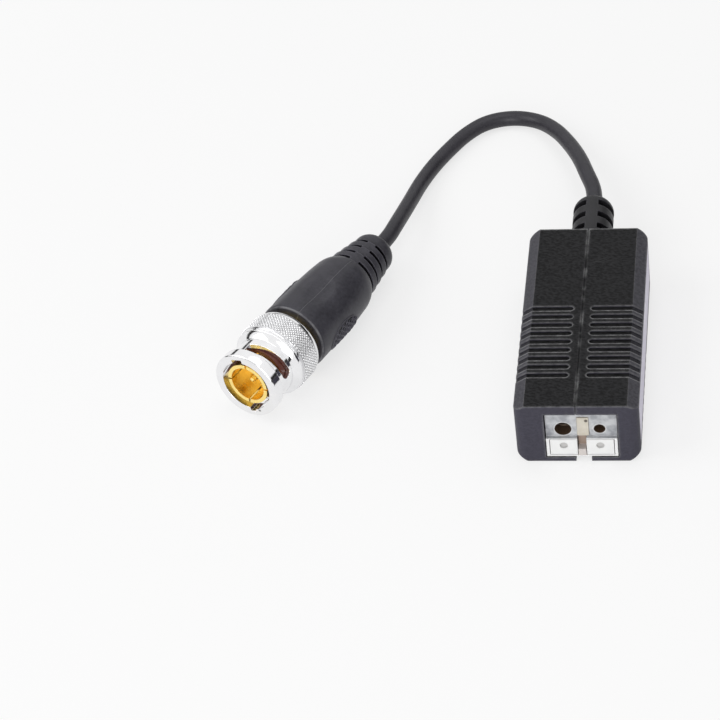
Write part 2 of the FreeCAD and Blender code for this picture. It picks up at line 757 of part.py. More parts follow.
def make_divider():
    """The piece between the two entries."""
    body = new_body("terminal_divider")
    front = sketch_on(body, "divider_front", "XZ_Plane", f"-({BLOCK_UPPER} + divider_depth)")
    box_outline(front, f"{DIVIDER_ACROSS} - divider_width / 2",
                f"{DIVIDER_ACROSS} + divider_width / 2", DIVIDER_LOW, DIVIDER_TOP)
    extruded(body, "Pad", front, "divider_depth + divider_proud")


def make_button(name, side):
    """A push button: face with a dimple, a shoulder behind the front wall and a nose."""
    body = new_body(name)
    pole = f"(terminal_shift + {side} * {POLE_HALF})"
    profile = sketch_on(body, f"{name}_side", "YZ_Plane", pole)
    outline(profile, [
        (BLOCK_LIP, BUTTON_LOW),
        (SHOULDER_REAR, BUTTON_LOW),
        (SHOULDER_REAR, f"{BUTTON_LOW} + button_height / 4"),
        (NOSE_REAR, f"{BUTTON_LOW} + button_height / 4"),
        (NOSE_REAR, f"{BUTTON_HIGH} - button_height / 4"),
        (SHOULDER_REAR, f"{BUTTON_HIGH} - button_height / 4"),
        (SHOULDER_REAR, f"{BUTTON_HIGH} + button_shoulder"),
        (f"{CHAMBER_FRONT} + button_gap", f"{BUTTON_HIGH} + button_shoulder"),
        (f"{CHAMBER_FRONT} + button_gap", BUTTON_HIGH),
        (BLOCK_LIP, BUTTON_HIGH),
    ])
    extruded(body, "Pad", profile, "button_width", both_ways=True)
    dimple = sketch_on(body, f"{name}_dimple", "XZ_Plane", "case_length / 2 + 1")
    circle(dimple, pole, f"{BUTTON_LOW} + button_height / 2 + dimple_rise", "dimple_radius")
    extruded(body, "Pocket", dimple, "1 + block_lip_inset + dimple_depth")


def make_contact(name, side):
    """A bent strip over the wire, with a pin up through the block into the board."""
    middle = number(f"terminal_shift + {side} * {POLE_HALF}")
    thick = number("contact_thick")
    top = number(CONTACT_TOP) - thick
    rear = number(CONTACT_REAR) - thick
    front = rear - number("contact_reach")
    points = [(front, top), (rear, top), (rear, top - number("contact_drop"))]
    strip = bent_strip(points, -thick, number("contact_width"), middle)
    foot = Vector(middle, number(PIN_ALONG), top)
    rise = number(BOARD_UNDER) + number("board_thick - board_clearance") - top
    pin = Part.makeCylinder(number("pin_radius"), rise, foot)
    add_shape(name, strip.fuse(pin).removeSplitter())


def make_leaf(name, side):
    """A leaf spring: rear leg along the contact, a foot and a front leg behind the button."""
    middle = number(f"terminal_shift + {side} * {POLE_HALF}")
    thick = number("leaf_thick")
    rear = number(f"{CONTACT_REAR} - contact_thick - leaf_gap") - thick
    front = number(f"{NOSE_REAR} + leaf_gap") + thick
    low = number("leaf_low")
    points = [
        (rear, low + number("leaf_rear_rise")),
        (rear, low),
        (front, low),
        (front, low + number("leaf_front_rise")),
    ]
    add_shape(name, bent_strip(points, -thick, number("leaf_width"), middle))


def make_leads():
    """The two conductors, from the cable's end through the strain relief to the board."""
    for name, side in (("signal_lead", 1), ("shield_lead", -1)):
        across = side * number("lead_spread")
        hole = side * number("lead_hole_spread")
        axis = number("lead_axis")
        along = number(LEAD_HOLE_ALONG)
        points = [
            Vector(across, number(RELIEF_END) - 0.1, axis),
            Vector(across, number(f"{INNER_END} - relief_flange"), axis),
            Vector(hole, along, axis + 0.4),
            Vector(hole, along, number(f"{BOARD_UNDER} + board_thick - board_clearance")),
        ]
        solid, _, _ = tube(points, number("lead_radius"))
        add_shape(name, solid)


def make_nut():
    """The bayonet nut: two entry grooves, two helical windows that end in detents."""
    body = ring_on_plug("coupling_nut", [
        ("0", "nut_bore"),
        ("0", "rim_radius - rim_round", "rim_round", -1),
        ("rim_round", "rim_radius"),
        ("rim_length", "rim_radius"),
        ("rim_length + rim_round", "barrel_radius"),
        ("barrel_end", "barrel_radius", "3 * (bead_start - barrel_end)", 1),
        ("bead_start", "bead_radius"),
        ("bead_end", "bead_radius"),
        ("bead_end + (knurl_start - bead_end) / 3", "bead_groove_radius"),
        ("knurl_start", "bead_groove_radius"),
        ("knurl_start + 0.1", "knurl_radius"),
        ("knurl_end", "knurl_radius"),
        ("nut_length", "nut_rear_radius"),
        ("nut_length", "nut_flange_bore"),
        (NUT_FLANGE_FRONT, "nut_flange_bore"),
        (NUT_FLANGE_FRONT, "nut_bore"),
    ], "nut_roll")
    entry = sketch_on(body, "nut_entry", "YZ_Plane")
    for side in (-1, 1):
        box_outline(entry, f"{side} * (nut_bore - 0.5)", f"{side} * entry_groove_radius",
                    "-slot_width / 2", "slot_width / 2")
    extruded(body, "Pocket", entry, "slot_station", backwards=True)
    window = sketch_on(body, "nut_window", "XY_Plane")
    box_outline(window, "slot_station - slot_width / 2", "slot_station + slot_width / 2",
                "nut_bore - 0.5", "knurl_radius + 1")
    helix = body.newObject("PartDesign::SubtractiveHelix", "nut_window_helix")
    helix.Profile = window
    helix.ReferenceAxis = (window, ["H_Axis"])
    helix.Mode = "height-turns-angle"
    helix.setExpression("Height", bound("slot_rise"))
    helix.setExpression("Turns", bound("slot_turn / 360"))
    document.recompute()
    around(body, [helix], "X_Axis", 2)
    detent = sketch_on(body, "nut_detent", "XY_Plane")
    circle(detent, "slot_station + slot_rise", "0", "slot_width / 2")
    extruded(body, "Pocket", detent, "2 * (knurl_radius + 1)", both_ways=True)


def make_plug_body():
    """The outer contact with its fingers, spring flange, neck and crimp barb."""
    body = ring_on_plug("plug_body", [
        ("contact_front", "contact_inner"),
        ("contact_front", "contact_outer"),
        ("body_flange_start", "contact_outer"),
        ("body_flange_start", "body_flange_radius"),
        (FLANGE_REAR, "body_flange_radius"),
        (FLANGE_REAR, "body_neck"),
        ("sleeve_start", "body_neck"),
        ("sleeve_start", "stub_radius"),
        ("stub_end", "stub_radius"),
        ("stub_end", "barb_radius"),
        ("barb_end", "barb_radius"),
        ("barb_end", "barb_bore"),
        ("socket_end", "barb_bore"),
        ("socket_end", "contact_inner"),
    ])
    cross = sketch_on(body, "finger_slots", "YZ_Plane")
    for side in (-1, 1):
        box_outline(cross, f"{side} * (contact_inner - 0.5)", f"{side} * (contact_outer + 0.5)",
                    "-finger_slot / 2", "finger_slot / 2")
        box_outline(cross, "-finger_slot / 2", "finger_slot / 2",
                    f"{side} * (contact_inner - 0.5)", f"{side} * (contact_outer + 0.5)")
    extruded(body, "Pocket", cross, "contact_front + finger_length", backwards=True)


def make_wave_washer():
    """A curved spring washer between the flange and the thrust washer."""
    body = new_body("wave_washer")
    front = f"({FLANGE_REAR} + washer_gap)"
    reach = "washer_radius"
    rise = "(wave_height - wave_thick)"
    sweep = f"(({reach} ^ 2 + {rise} ^ 2) / (2 * {rise}))"
    strip = sketch_on(body, "wave_strip", "XY_Plane")
    outline(strip, [
        (front, f"-{reach}"),
        (f"{front} + wave_thick", f"-{reach}", sweep, -1),
        (f"{front} + wave_height", "0", sweep, -1),
        (f"{front} + wave_thick", reach),
        (front, reach, sweep, 1),
        (f"{front} + {rise}", "0", sweep, 1),
    ])
    extruded(body, "Pad", strip, "3 * washer_radius", both_ways=True)
    trim = sketch_on(body, "wave_trim", "YZ_Plane", f"{front} - 1")
    circle(trim, "0", "0", "4 * washer_radius")
    circle(trim, "0", "0", "washer_radius")
    extruded(body, "Pocket", trim, "wave_height + 2", backwards=True)
    hole = sketch_on(body, "wave_hole", "YZ_Plane", f"{front} - 1")
    circle(hole, "0", "0", "body_neck + ring_clearance")
    extruded(body, "Pocket", hole, "wave_height + 2", backwards=True)
    lay_on_plug(body)


def make_sleeve():
    """The moulded sleeve: swelling grip, thumb dishes, and a slotted domed tail."""
    rings = []
    last = SIZES["tail_slots"] - 1
    for index in range(last + 1):
        radius = f"tail_radius + {last - index} * tail_step"
        start = "sleeve_end" if index == 0 else f"sleeve_end + tail_slot / 2 + {index} * tail_slot_pitch"
        end = f"sleeve_end + tail_slot / 2 + {index + 1} * tail_slot_pitch"
        rings.append((start, radius))
        if index < last:
            rings.append((end, radius))
    body = ring_on_plug("plug_overmold", [
        ("sleeve_start", "stub_radius + ring_clearance"),
        ("sleeve_start", "sleeve_radius - sleeve_round", "sleeve_round", -1),
        ("sleeve_start + sleeve_round", "sleeve_radius"),
        ("shoulder_station", "shoulder_radius"),
        ("waist_station", "waist_radius"),
        ("throat_station", "throat_radius", "3 * (sleeve_end - throat_station)", -1),
        ("sleeve_end", "sleeve_end_radius"),
        *rings,
        ("tail_end - tail_tip", "tail_radius", "tail_tip", -1),
        ("tail_end", "tail_radius - tail_tip"),
        ("tail_end", CENTRE_RADIUS),
        (f"{FERRULE_END} + ring_clearance", CENTRE_RADIUS),
        (f"{FERRULE_END} + ring_clearance", f"{FERRULE_RADIUS} + ring_clearance"),
        (FERRULE_START, f"{FERRULE_RADIUS} + ring_clearance"),
        (FERRULE_START, "stub_radius + ring_clearance"),
    ], "sleeve_roll")
    for name, side in (("one", 1), ("other", -1)):
        slots = sketch_on(body, f"tail_slots_{name}", "XY_Plane")
        for index in range(last + 1):
            start = f"sleeve_end + {index} * tail_slot_pitch"
            box_outline(slots, start, f"{start} + tail_slot",
                        f"{side} * tail_core", f"{side} * (sleeve_radius + 1)")
        open_angle = "180 deg - 2 * asin(tail_web / 2 / tail_radius)"
        turned(body, "Groove", slots, "H_Axis", open_angle, midplane=True)
    for name, side in (("one", 1), ("other", -1)):
        dish = body.newObject("PartDesign::SubtractiveEllipsoid", f"thumb_dish_{name}")
        dish.Angle1 = -90
        dish.Angle2 = 90
        dish.Angle3 = 360
        dish.setExpression("Radius1", bound("thumb_rise"))
        dish.setExpression("Radius2", bound("thumb_length"))
        dish.setExpression("Radius3", bound("thumb_width"))
        dish.AttachmentSupport = (origin_feature(body, "XY_Plane"), [""])
        dish.MapMode = "FlatFace"
        dish.setExpression(".AttachmentOffset.Base.x", bound("thumb_station"))
        dish.setExpression(".AttachmentOffset.Base.z",
                           bound(f"{side} * (shoulder_radius - thumb_depth + thumb_rise)"))
        document.recompute()
    return body


def make_plug():
    """Every piece of the plug, from the nut to the crimped cable end."""
    make_nut()
    make_plug_body()
    ring_on_plug("sealing_gasket", [
        ("body_flange_start - gasket_length", "contact_outer + ring_clearance"),
        ("body_flange_start - gasket_length", "gasket_radius"),
        ("body_flange_start", "gasket_radius"),
        ("body_flange_start", "contact_outer + ring_clearance"),
    ])
    make_wave_washer()
    ring_on_plug("thrust_washer", [
        (WASHER_FRONT, "body_neck + ring_clearance"),
        (WASHER_FRONT, "washer_radius"),
        (f"{WASHER_FRONT} + washer_thick", "washer_radius"),
        (f"{WASHER_FRONT} + washer_thick", "body_neck + ring_clearance"),
    ])
    ring_on_plug("body_collar", [
        ("nut_length + collar_gap", "body_neck + ring_clearance"),
        ("nut_length + collar_gap", "collar_radius"),
        ("sleeve_start", "collar_radius"),
        ("sleeve_start", "body_neck + ring_clearance"),
    ])
    ring_on_plug("insulator", [
        ("insulator_front", "centre_pin_radius + ring_clearance"),
        ("insulator_front", "contact_inner - ring_clearance"),
        ("socket_end", "contact_inner - ring_clearance"),
        ("socket_end", "centre_pin_radius + ring_clearance"),
    ])
    ring_on_plug("center_pin", [
        ("pin_front", "0"),
        ("pin_front", "centre_pin_radius / 2"),
        ("pin_front + centre_pin_radius", "centre_pin_radius"),
        ("socket_end", "centre_pin_radius"),
        ("socket_end", "0"),
    ])
    ring_on_plug("crimp_ferrule", [
        (FERRULE_START, "barb_radius + ring_clearance"),
        (FERRULE_START, FERRULE_RADIUS),
        (FERRULE_END, FERRULE_RADIUS),
        (FERRULE_END, "barb_radius + ring_clearance"),
    ])
    ring_on_plug("coax_core", [
        ("socket_end", "0"),
        ("socket_end", "inner_core_radius"),
        (f"{FERRULE_END} + 2 * ring_clearance", "inner_core_radius"),
        (f"{FERRULE_END} + 2 * ring_clearance", "core_radius"),
        ("tail_end", "core_radius"),
        ("tail_end", "0"),
    ])
    return make_sleeve()


def make_cable(sleeve):
    """The round lead, from the strain relief's tip to the sleeve's tail."""
    exit_point = Vector(0, number(RELIEF_END), number("lead_axis"))
    tail = sleeve.Placement.multVec(Vector(number("tail_end"), 0, 0))
    behind_tail = sleeve.Placement.multVec(Vector(number("tail_end") + 3.5, 0, 0))
    route = [
        exit_point,
        exit_point + Vector(0, 4.5, 0),
        Vector(-2.0, 49.0, 6.1),
        Vector(-3.5, 54.5, 5.3),
        Vector(-6.0, 61.0, 4.1),
        Vector(-9.0, 67.0, 2.9),
        Vector(-12.8, 71.5, 1.9),
        Vector(-18.0, 73.2, 1.55),
        Vector(-23.3, 71.8, 1.55),
        Vector(-27.1, 67.9, 1.55),
        Vector(-30.0, 63.0, 1.55),
        Vector(-32.5, 58.0, 1.6),
        Vector(-34.5, 52.0, 2.0),
        Vector(-35.5, 46.5, 2.9),
        Vector(-36.5, 40.5, 4.1),
        Vector(-37.5, 35.0, 5.2),
        behind_tail,
        tail,
    ]
    radius = number("cable_diameter") / 2
    solid, length, radii = tube(route, radius)
    add_shape("cable", solid)
    print("cable length", round(length, 2), "radii", [round(value, 1) for value in radii])
    print("cable volume", round(solid.Volume, 2), "section by length",
          round(math.pi * radius ** 2 * length, 2))


half_shell("housing_left", -1)
half_shell("housing_right", 1)
make_label()
make_grommet()
make_board()
make_transformer()
make_capacitor()
make_diodes()
make_terminal_block()
make_divider()
for side_name, side_sign in (("left", -1), ("right", 1)):
    make_button(f"button_{side_name}", side_sign)
    make_contact(f"contact_{side_name}", side_sign)
    make_leaf(f"clamp_spring_{side_name}", side_sign)
make_leads()
sleeve_body = make_plug()
document.recompute()
make_cable(sleeve_body)
document.recompute()

failed = [item.Name for item in document.Objects if {"Invalid", "Error"} & set(item.State)]
failed += [part.Label for part in parts if part.Shape.isNull() or not part.Shape.isValid()]
if failed:
    raise ValueError(f"not built: {failed}")

os.makedirs("parts", exist_ok=True)
for part in parts:
    part.Shape.exportStep(f"parts/{part.Label}.step")
    print(part.Label, len(part.Shape.Solids), round(part.Shape.Volume, 3))
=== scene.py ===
import math

import bmesh
import bpy
from mathutils import Matrix, Vector


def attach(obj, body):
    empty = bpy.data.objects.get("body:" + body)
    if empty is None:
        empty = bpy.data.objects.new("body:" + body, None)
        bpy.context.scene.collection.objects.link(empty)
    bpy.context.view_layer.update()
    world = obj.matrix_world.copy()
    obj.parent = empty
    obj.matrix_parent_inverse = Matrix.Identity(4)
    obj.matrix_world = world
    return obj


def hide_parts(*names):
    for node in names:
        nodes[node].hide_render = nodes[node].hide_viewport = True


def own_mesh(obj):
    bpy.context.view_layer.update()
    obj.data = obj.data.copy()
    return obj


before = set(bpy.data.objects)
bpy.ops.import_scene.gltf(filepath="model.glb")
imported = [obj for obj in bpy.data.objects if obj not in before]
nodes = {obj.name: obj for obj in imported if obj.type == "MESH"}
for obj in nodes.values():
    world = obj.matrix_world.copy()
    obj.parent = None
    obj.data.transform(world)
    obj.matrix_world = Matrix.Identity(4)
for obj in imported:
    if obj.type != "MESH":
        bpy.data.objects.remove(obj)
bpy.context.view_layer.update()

MM = 0.001


# Camera, at the photograph's angle. Angles are in degrees

CAMERA_AT = Vector((38.3, -384.5, 344.1)) * MM
CAMERA_ELEVATION = 40.48
CAMERA_AZIMUTH = 11.38
CAMERA_ROLL = -7.99
CAMERA_LENS = 143.9
CAMERA_SENSOR = 36
CAMERA_SHIFT = (-0.0068, -0.0403)


def make_camera():
    """A long lens that looks down on the table from in front."""
    data = bpy.data.cameras.new("camera")
    data.lens = CAMERA_LENS
    data.sensor_width = CAMERA_SENSOR
    data.shift_x, data.shift_y = CAMERA_SHIFT
    camera = bpy.data.objects.new("camera", data)
    bpy.context.scene.collection.objects.link(camera)
    tilt = math.radians(90 - CAMERA_ELEVATION)
    turn = Matrix.Rotation(math.radians(CAMERA_AZIMUTH), 4, "Z") @ Matrix.Rotation(tilt, 4, "X")
    turn = turn @ Matrix.Rotation(math.radians(CAMERA_ROLL), 4, "Z")
    camera.matrix_world = Matrix.Translation(CAMERA_AT) @ turn
    bpy.context.scene.camera = camera


# The plug's own frame. A station is a distance along its axis, from the nut's front to the tail

PLUG_FRONT = Vector((-59.2, -12.7, 7.784)) * MM
PLUG_HEADING = math.radians(64.75)
PLUG_TILT = math.radians(2.81)
NUT_ROLL = math.radians(74)
SLEEVE_ROLL = math.radians(18)
SLEEVE_END = 45.3 * MM

KNURL_FRONT = 8.5 * MM
KNURL_REAR = 12.7 * MM
KNURL_TOP = 7.15 * MM
KNURL_FLOOR = 7.00 * MM
KNURL_COLUMNS = 70
KNURL_ROWS = 12


def plug_frame(roll=0.0):
    """The place of a piece that is made along +X from the nut's front."""
    turn = Matrix.Rotation(PLUG_HEADING, 4, "Z") @ Matrix.Rotation(PLUG_TILT, 4, "Y")
    return Matrix.Translation(PLUG_FRONT) @ turn @ Matrix.Rotation(roll, 4, "X")


PLUG_AXIS = (plug_frame().to_3x3() @ Vector((1, 0, 0))).normalized()


# Node trees

class NodeTree:
    """The steps that every node tree here is built with."""

    def __init__(self, tree):
        self.tree = tree

    def add(self, kind, **settings):
        """A node with its settings."""
        node = self.tree.nodes.new(kind)
        for key, value in settings.items():
            setattr(node, key, value)
        return node

    def link(self, source, target):
        self.tree.links.new(source, target)

    def fill(self, socket, value):
        """Sets an input: a socket is linked, a number or a colour is its value."""
        if isinstance(value, bpy.types.NodeSocket):
            self.link(value, socket)
        elif isinstance(value, tuple) and len(socket.default_value) == 4:
            socket.default_value = (*value, 1)
        else:
            socket.default_value = value

    def put(self, node, **values):
        """Sets inputs of a node by their names."""
        for key, value in values.items():
            self.fill(node.inputs[key.replace("_", " ")], value)
        return node

    def maths(self, operation, first, second=0.0):
        """The result of one operation on one or two values."""
        node = self.add("ShaderNodeMath", operation=operation)
        self.fill(node.inputs[0], first)
        self.fill(node.inputs[1], second)
        return node.outputs[0]

    def times(self, first, *others):
        """The product of several values."""
        for other in others:
            first = self.maths("MULTIPLY", first, other)
        return first

    def reach(self, first, second):
        """How far a point lies from a centre, by its distances in two directions."""
        squares = self.maths("ADD", self.times(first, first), self.times(second, second))
        return self.maths("SQRT", squares)

    def vector(self, x, y, z):
        """A vector from its three parts."""
        return self.put(self.add("ShaderNodeCombineXYZ"), X=x, Y=y, Z=z).outputs[0]

    def axes(self, vector):
        """The three parts of a vector."""
        node = self.add("ShaderNodeSeparateXYZ")
        self.link(vector, node.inputs[0])
        return node.outputs

    def alike(self, first, second):
        """How nearly two directions agree: 1 where they are the same."""
        node = self.add("ShaderNodeVectorMath", operation="DOT_PRODUCT")
        self.fill(node.inputs[0], first)
        self.fill(node.inputs[1], second)
        return node.outputs["Value"]

    def between(self, value, low, high, to_low=0.0, to_high=1.0):
        """A pattern stretched from one range to another."""
        node = self.add("ShaderNodeMapRange")
        self.put(node, Value=value, From_Min=low, From_Max=high, To_Min=to_low, To_Max=to_high)
        return node.outputs["Result"]

    def mixed(self, factor, first, second, blend="MIX"):
        """A colour between two colours."""
        node = self.add("ShaderNodeMix", data_type="RGBA", blend_type=blend)
        sockets = (node.inputs[0], node.inputs[6], node.inputs[7])
        for socket, value in zip(sockets, (factor, first, second)):
            self.fill(socket, value)
        return node.outputs[2]

    def seen(self):
        """1 where the camera sees something, directly, mirrored or through something clear."""
        path = self.add("ShaderNodeLightPath").outputs
        directly = self.maths("MAXIMUM", path["Is Camera Ray"], path["Is Glossy Ray"])
        return self.maths("MAXIMUM", directly, path["Is Transmission Ray"])


# Finishes. A point is on an edge where rounding would turn its face: the cosines of that turn
# are for a point right on the edge and for one just clear of it

BEVEL_SAMPLES = 6
ON_EDGE = 0.86
CLEAR_OF_EDGE = 0.965


class Finish(NodeTree):
    """A material with a Principled shader and Object coordinates to build patterns on."""

    def __init__(self, name, colour, roughness, metallic=0.0, specular=0.5):
        self.material = bpy.data.materials.new(name)
        self.material.use_nodes = True
        super().__init__(self.material.node_tree)
        self.shader = self.tree.nodes["Principled BSDF"]
        self.put(self.shader, Base_Color=colour, Roughness=roughness, Metallic=metallic,
                 Specular_IOR_Level=specular)
        self.coordinates = self.add("ShaderNodeTexCoord")
        self.place = self.coordinates.outputs["Object"]
        self.normal = None
        self.edge_facing = None

    def noise(self, scale, detail=3.0, rough=0.5, place=None):
        """A cloudy pattern. The scale is in blotches to the metre."""
        node = self.add("ShaderNodeTexNoise")
        self.put(node, Vector=place or self.place, Scale=scale, Detail=detail, Roughness=rough)
        return node.outputs["Fac"]

    def turned(self, location=(0, 0, 0), rotation=(0, 0, 0), scale=(1, 1, 1)):
        """Object coordinates, centred on a place, turned and stretched."""
        node = self.add("ShaderNodeMapping", vector_type="TEXTURE")
        self.put(node, Vector=self.place, Location=location, Rotation=rotation, Scale=scale)
        return node.outputs["Vector"]

    def band(self, value, low, high, soft):
        """1 between two limits, with soft ends."""
        rise = self.between(value, low - soft, low, 0.0, 1.0)
        fall = self.between(value, high, high + soft, 1.0, 0.0)
        return self.times(rise, fall)

    def bump(self, height, depth, strength):
        """Relief of a depth in metres, on top of any relief already there."""
        node = self.add("ShaderNodeBump")
        self.put(node, Height=height, Distance=depth, Strength=strength)
        if self.normal:
            self.link(self.normal, node.inputs["Normal"])
        self.shade_by(node.outputs["Normal"])

    def shade_by(self, normal):
        self.normal = normal
        self.link(normal, self.shader.inputs["Normal"])

    def rounded(self, radius):
        """The direction that each point would face if sharp edges were rounded."""
        node = self.add("ShaderNodeBevel", samples=BEVEL_SAMPLES)
        return self.put(node, Radius=radius).outputs["Normal"]

    def soft_edges(self, radius, wide=2.5):
        """Shades sharp edges as if they were rounded, and says how near a point is to one."""
        self.shade_by(self.rounded(radius))
        outwards = self.rounded(radius * wide)
        self.edge_facing = self.axes(outwards)
        face = self.add("ShaderNodeNewGeometry").outputs["Normal"]
        return self.between(self.alike(outwards, face), ON_EDGE, CLEAR_OF_EDGE, 1.0, 0.0)

    def plug_axes(self, roll=0.0):
        """The station along the plug, and the two directions across it."""
        turn = plug_frame(roll).to_euler()
        return self.axes(self.turned(tuple(PLUG_FRONT), tuple(turn)))

    def colour(self, value):
        self.link(value, self.shader.inputs["Base Color"])

    def roughness(self, value):
        self.link(value, self.shader.inputs["Roughness"])


# The case's outer form, from which its painted groove shade and painted edge highlights are
# placed. A pair of lengths is where a mark begins and ends, or where it fades. Steepness is 0
# on a wall and 1 on the flat top

CASE_HALF_WIDTH = 10.75 * MM
CASE_HALF_LENGTH = 24 * MM
CASE_MIDDLE = 6.35 * MM
SLOPE_DROP = 1.25 * MM
SLOPE_ACROSS, SLOPE_UP = 0.5496, 0.8354
GROOVED_PART = (-16.7 * MM, 2.6 * MM)
GROOVE_DEPTH = (0.12 * MM, 0.30 * MM)
HIGHLIGHT_LIP = (0.12 * MM, 0.24 * MM)
SEAM_REACH = (0.50 * MM, 0.60 * MM)
SIDE_TO_SLOPE = (0.3, 0.5)
SLOPE_TO_TOP = (0.86, 0.97)

CASE_BLACK = (0.012, 0.012, 0.013)
# Painted light and shade: the side and slope colours are painted light, the groove colour is
# painted shade and the pale edge colour is a painted highlight
CASE_SIDE_LIT = ((0.047, 0.045, 0.060), (0.057, 0.055, 0.073))
CASE_SLOPE_LIT = ((0.054, 0.053, 0.062), (0.086, 0.084, 0.096))
CASE_TOP = ((0.0035, 0.0035, 0.0040), (0.0225, 0.0225, 0.0240))
CASE_GROOVE_SHADE = (0.002, 0.002, 0.002)
CASE_SCRATCH = (0.09, 0.09, 0.09)
CASE_EDGE_HIGHLIGHT = (0.34, 0.34, 0.345)


def depth_in_case(finish):
    """How far a point lies under the flat and sloping faces of the whole case."""
    across, along, height = finish.axes(finish.place)
    to_side = finish.maths("SUBTRACT", CASE_HALF_WIDTH, finish.maths("ABSOLUTE", across))
    middle = finish.maths("ABSOLUTE", finish.maths("SUBTRACT", height, CASE_MIDDLE))
    to_top = finish.maths("SUBTRACT", CASE_MIDDLE, middle)
    to_end = finish.maths("SUBTRACT", CASE_HALF_LENGTH, finish.maths("ABSOLUTE", along))
    sloping = finish.times(finish.maths("SUBTRACT", to_top, SLOPE_DROP), SLOPE_UP)
    sloping = finish.maths("ADD", sloping, finish.times(to_side, SLOPE_ACROSS))
    nearest = finish.maths("MINIMUM", to_side, to_top)
    return finish.maths("MINIMUM", finish.maths("MINIMUM", nearest, sloping), to_end)


def case_scratches(finish, broad):
    """Thin slanting scratches, in some places only."""
    slanted = finish.turned(rotation=(0, 0, 0.5), scale=(5, 1, 1))
    scratch = finish.band(finish.noise(260, detail=2, place=slanted), 0.499, 0.501, soft=0.003)
    return finish.times(scratch, finish.between(broad, 0.52, 0.60, 0.0, 0.22))


def case_edge_highlight(finish, edge, depth, across):
    """Painted highlights on edges: patchy along the seam, and least on edges that face the
    terminal.
    """
    lip = finish.between(depth, *HIGHLIGHT_LIP, 1.0, 0.0)
    highlight_patches = finish.between(finish.noise(800), 0.36, 0.60, 0.45, 1.0)
    facing = finish.between(finish.edge_facing["Y"], -0.25, 0.25, 0.40, 1.0)
    by_seam = finish.between(finish.maths("ABSOLUTE", across), *SEAM_REACH, 1.0, 0.0)
    patchy = finish.between(finish.noise(190), 0.43, 0.53, 0.10, 1.0)
    return finish.times(edge, lip, highlight_patches, facing, finish.mixed(by_seam, (1, 1, 1), patchy))


def moulded_case():
    """Black ABS, leathery grain: sides and slopes painted lighter than the top and bottom as
    painted light, painted shade in the grooves and painted highlights on the edges.
    """
    finish = Finish("moulded_case", CASE_BLACK, 0.5, specular=0.10)
    edge = finish.soft_edges(0.20 * MM, wide=3.5)
    across, along, _ = finish.axes(finish.place)
    depth = depth_in_case(finish)
    broad = finish.noise(150, detail=4)
    grain = finish.noise(5200, detail=2)
    slanted = finish.turned(rotation=(0, 0, -0.25), scale=(1.7, 1, 1))
    streaks = finish.noise(2500, detail=4, rough=0.6, place=slanted)
    leather = finish.between(streaks, 0.40, 0.60)
    upright = finish.maths("ABSOLUTE", finish.axes(finish.coordinates.outputs["Normal"])["Z"])
    # Painted light: sides and slopes are painted lighter than the top and bottom, for the light
    # and reflections that fall on them
    side = finish.mixed(leather, *CASE_SIDE_LIT)
    lit_slope = finish.mixed(leather, *CASE_SLOPE_LIT)
    top = finish.mixed(leather, *CASE_TOP)
    skin = finish.mixed(finish.between(upright, *SIDE_TO_SLOPE), side, lit_slope)
    skin = finish.mixed(finish.between(upright, *SLOPE_TO_TOP), skin, top)
    # Painted shade: the floors of the grooves are painted nearly black
    groove_shade = finish.times(finish.between(depth, *GROOVE_DEPTH),
                          finish.band(along, *GROOVED_PART, soft=0.05 * MM), 0.45)
    skin = finish.mixed(groove_shade, skin, CASE_GROOVE_SHADE)
    skin = finish.mixed(case_scratches(finish, broad), skin, CASE_SCRATCH)
    # Painted highlights: the case's edges and the lips of its grooves are painted pale
    finish.colour(finish.mixed(case_edge_highlight(finish, edge, depth, across), skin, CASE_EDGE_HIGHLIGHT))
    finish.roughness(finish.between(leather, 0.0, 1.0, 0.38, 0.62))
    finish.bump(leather, 0.05 * MM, strength=0.35)
    finish.bump(grain, 0.02 * MM, strength=0.5)
    finish.bump(broad, 0.05 * MM, strength=0.25)
    return finish.material


FILM_LAVENDER = (0.62, 0.59, 0.70)
FILM_RUN = ((0.50, 0.47, 0.60), (0.66, 0.62, 0.76))
FILM_SPECK = (0.85, 0.85, 0.90)
FILM_EDGE_SHADE = (0.30, 0.28, 0.36)


def label_film():
    """Silver-lavender film with a faint brushed run, bright specks, slight waves and painted shade
    along its edges.
    """
    finish = Finish("label_film", FILM_LAVENDER, 0.32, specular=0.4)
    edge = finish.soft_edges(0.10 * MM)
    run = finish.noise(2400, place=finish.turned(scale=(1, 14, 1)))
    wave = finish.noise(90, detail=2)
    speck = finish.between(finish.noise(1400, detail=2), 0.60, 0.72, 0.0, 0.7)
    film = finish.mixed(speck, finish.mixed(run, *FILM_RUN), FILM_SPECK)
    # Painted shade: the film is painted darker along its edges
    finish.colour(finish.mixed(edge, film, FILM_EDGE_SHADE))
    finish.roughness(finish.between(wave, 0.3, 0.7, 0.26, 0.42))
    finish.bump(wave, 0.10 * MM, strength=0.3)
    return finish.material


# The terminal block: each wire entry's place across, its height and its radius, the pale ring
# round it, the face that it is in, the ledge under it, and the slot between the buttons

ENTRIES = ((-2.45 * MM, 6.75 * MM, 1.45 * MM), (3.85 * MM, 6.75 * MM, 1.0 * MM))
RING_START, RING_END = 0.04 * MM, 0.17 * MM
ENTRY_FACE = -23.1 * MM
LEDGE_HEIGHT = 5.15 * MM
SLOT_SIDES = (-0.12 * MM, 1.52 * MM)
SLOT_UPPER = (2.7 * MM, 5.2 * MM)
SLOT_LOWER = (1.2 * MM, 2.7 * MM)
SLOT_DEPTH = (-23.8 * MM, -23.6 * MM)
SLOT_SOFT = 0.01 * MM

TERMINAL_GREY = (0.36, 0.37, 0.39)
TERMINAL_SKIN = ((0.31, 0.32, 0.345), (0.54, 0.55, 0.57))
TERMINAL_EDGE_HIGHLIGHT = (0.66, 0.66, 0.66)
TERMINAL_FOOT_LIT = (0.82, 0.82, 0.82)
ENTRY_RING = (0.68, 0.68, 0.67)
ENTRY_PASSAGE = (0.100, 0.062, 0.040)
SLOT_BROWN = (0.36, 0.27, 0.22)
SLOT_PALE_BROWN = (0.46, 0.38, 0.34)


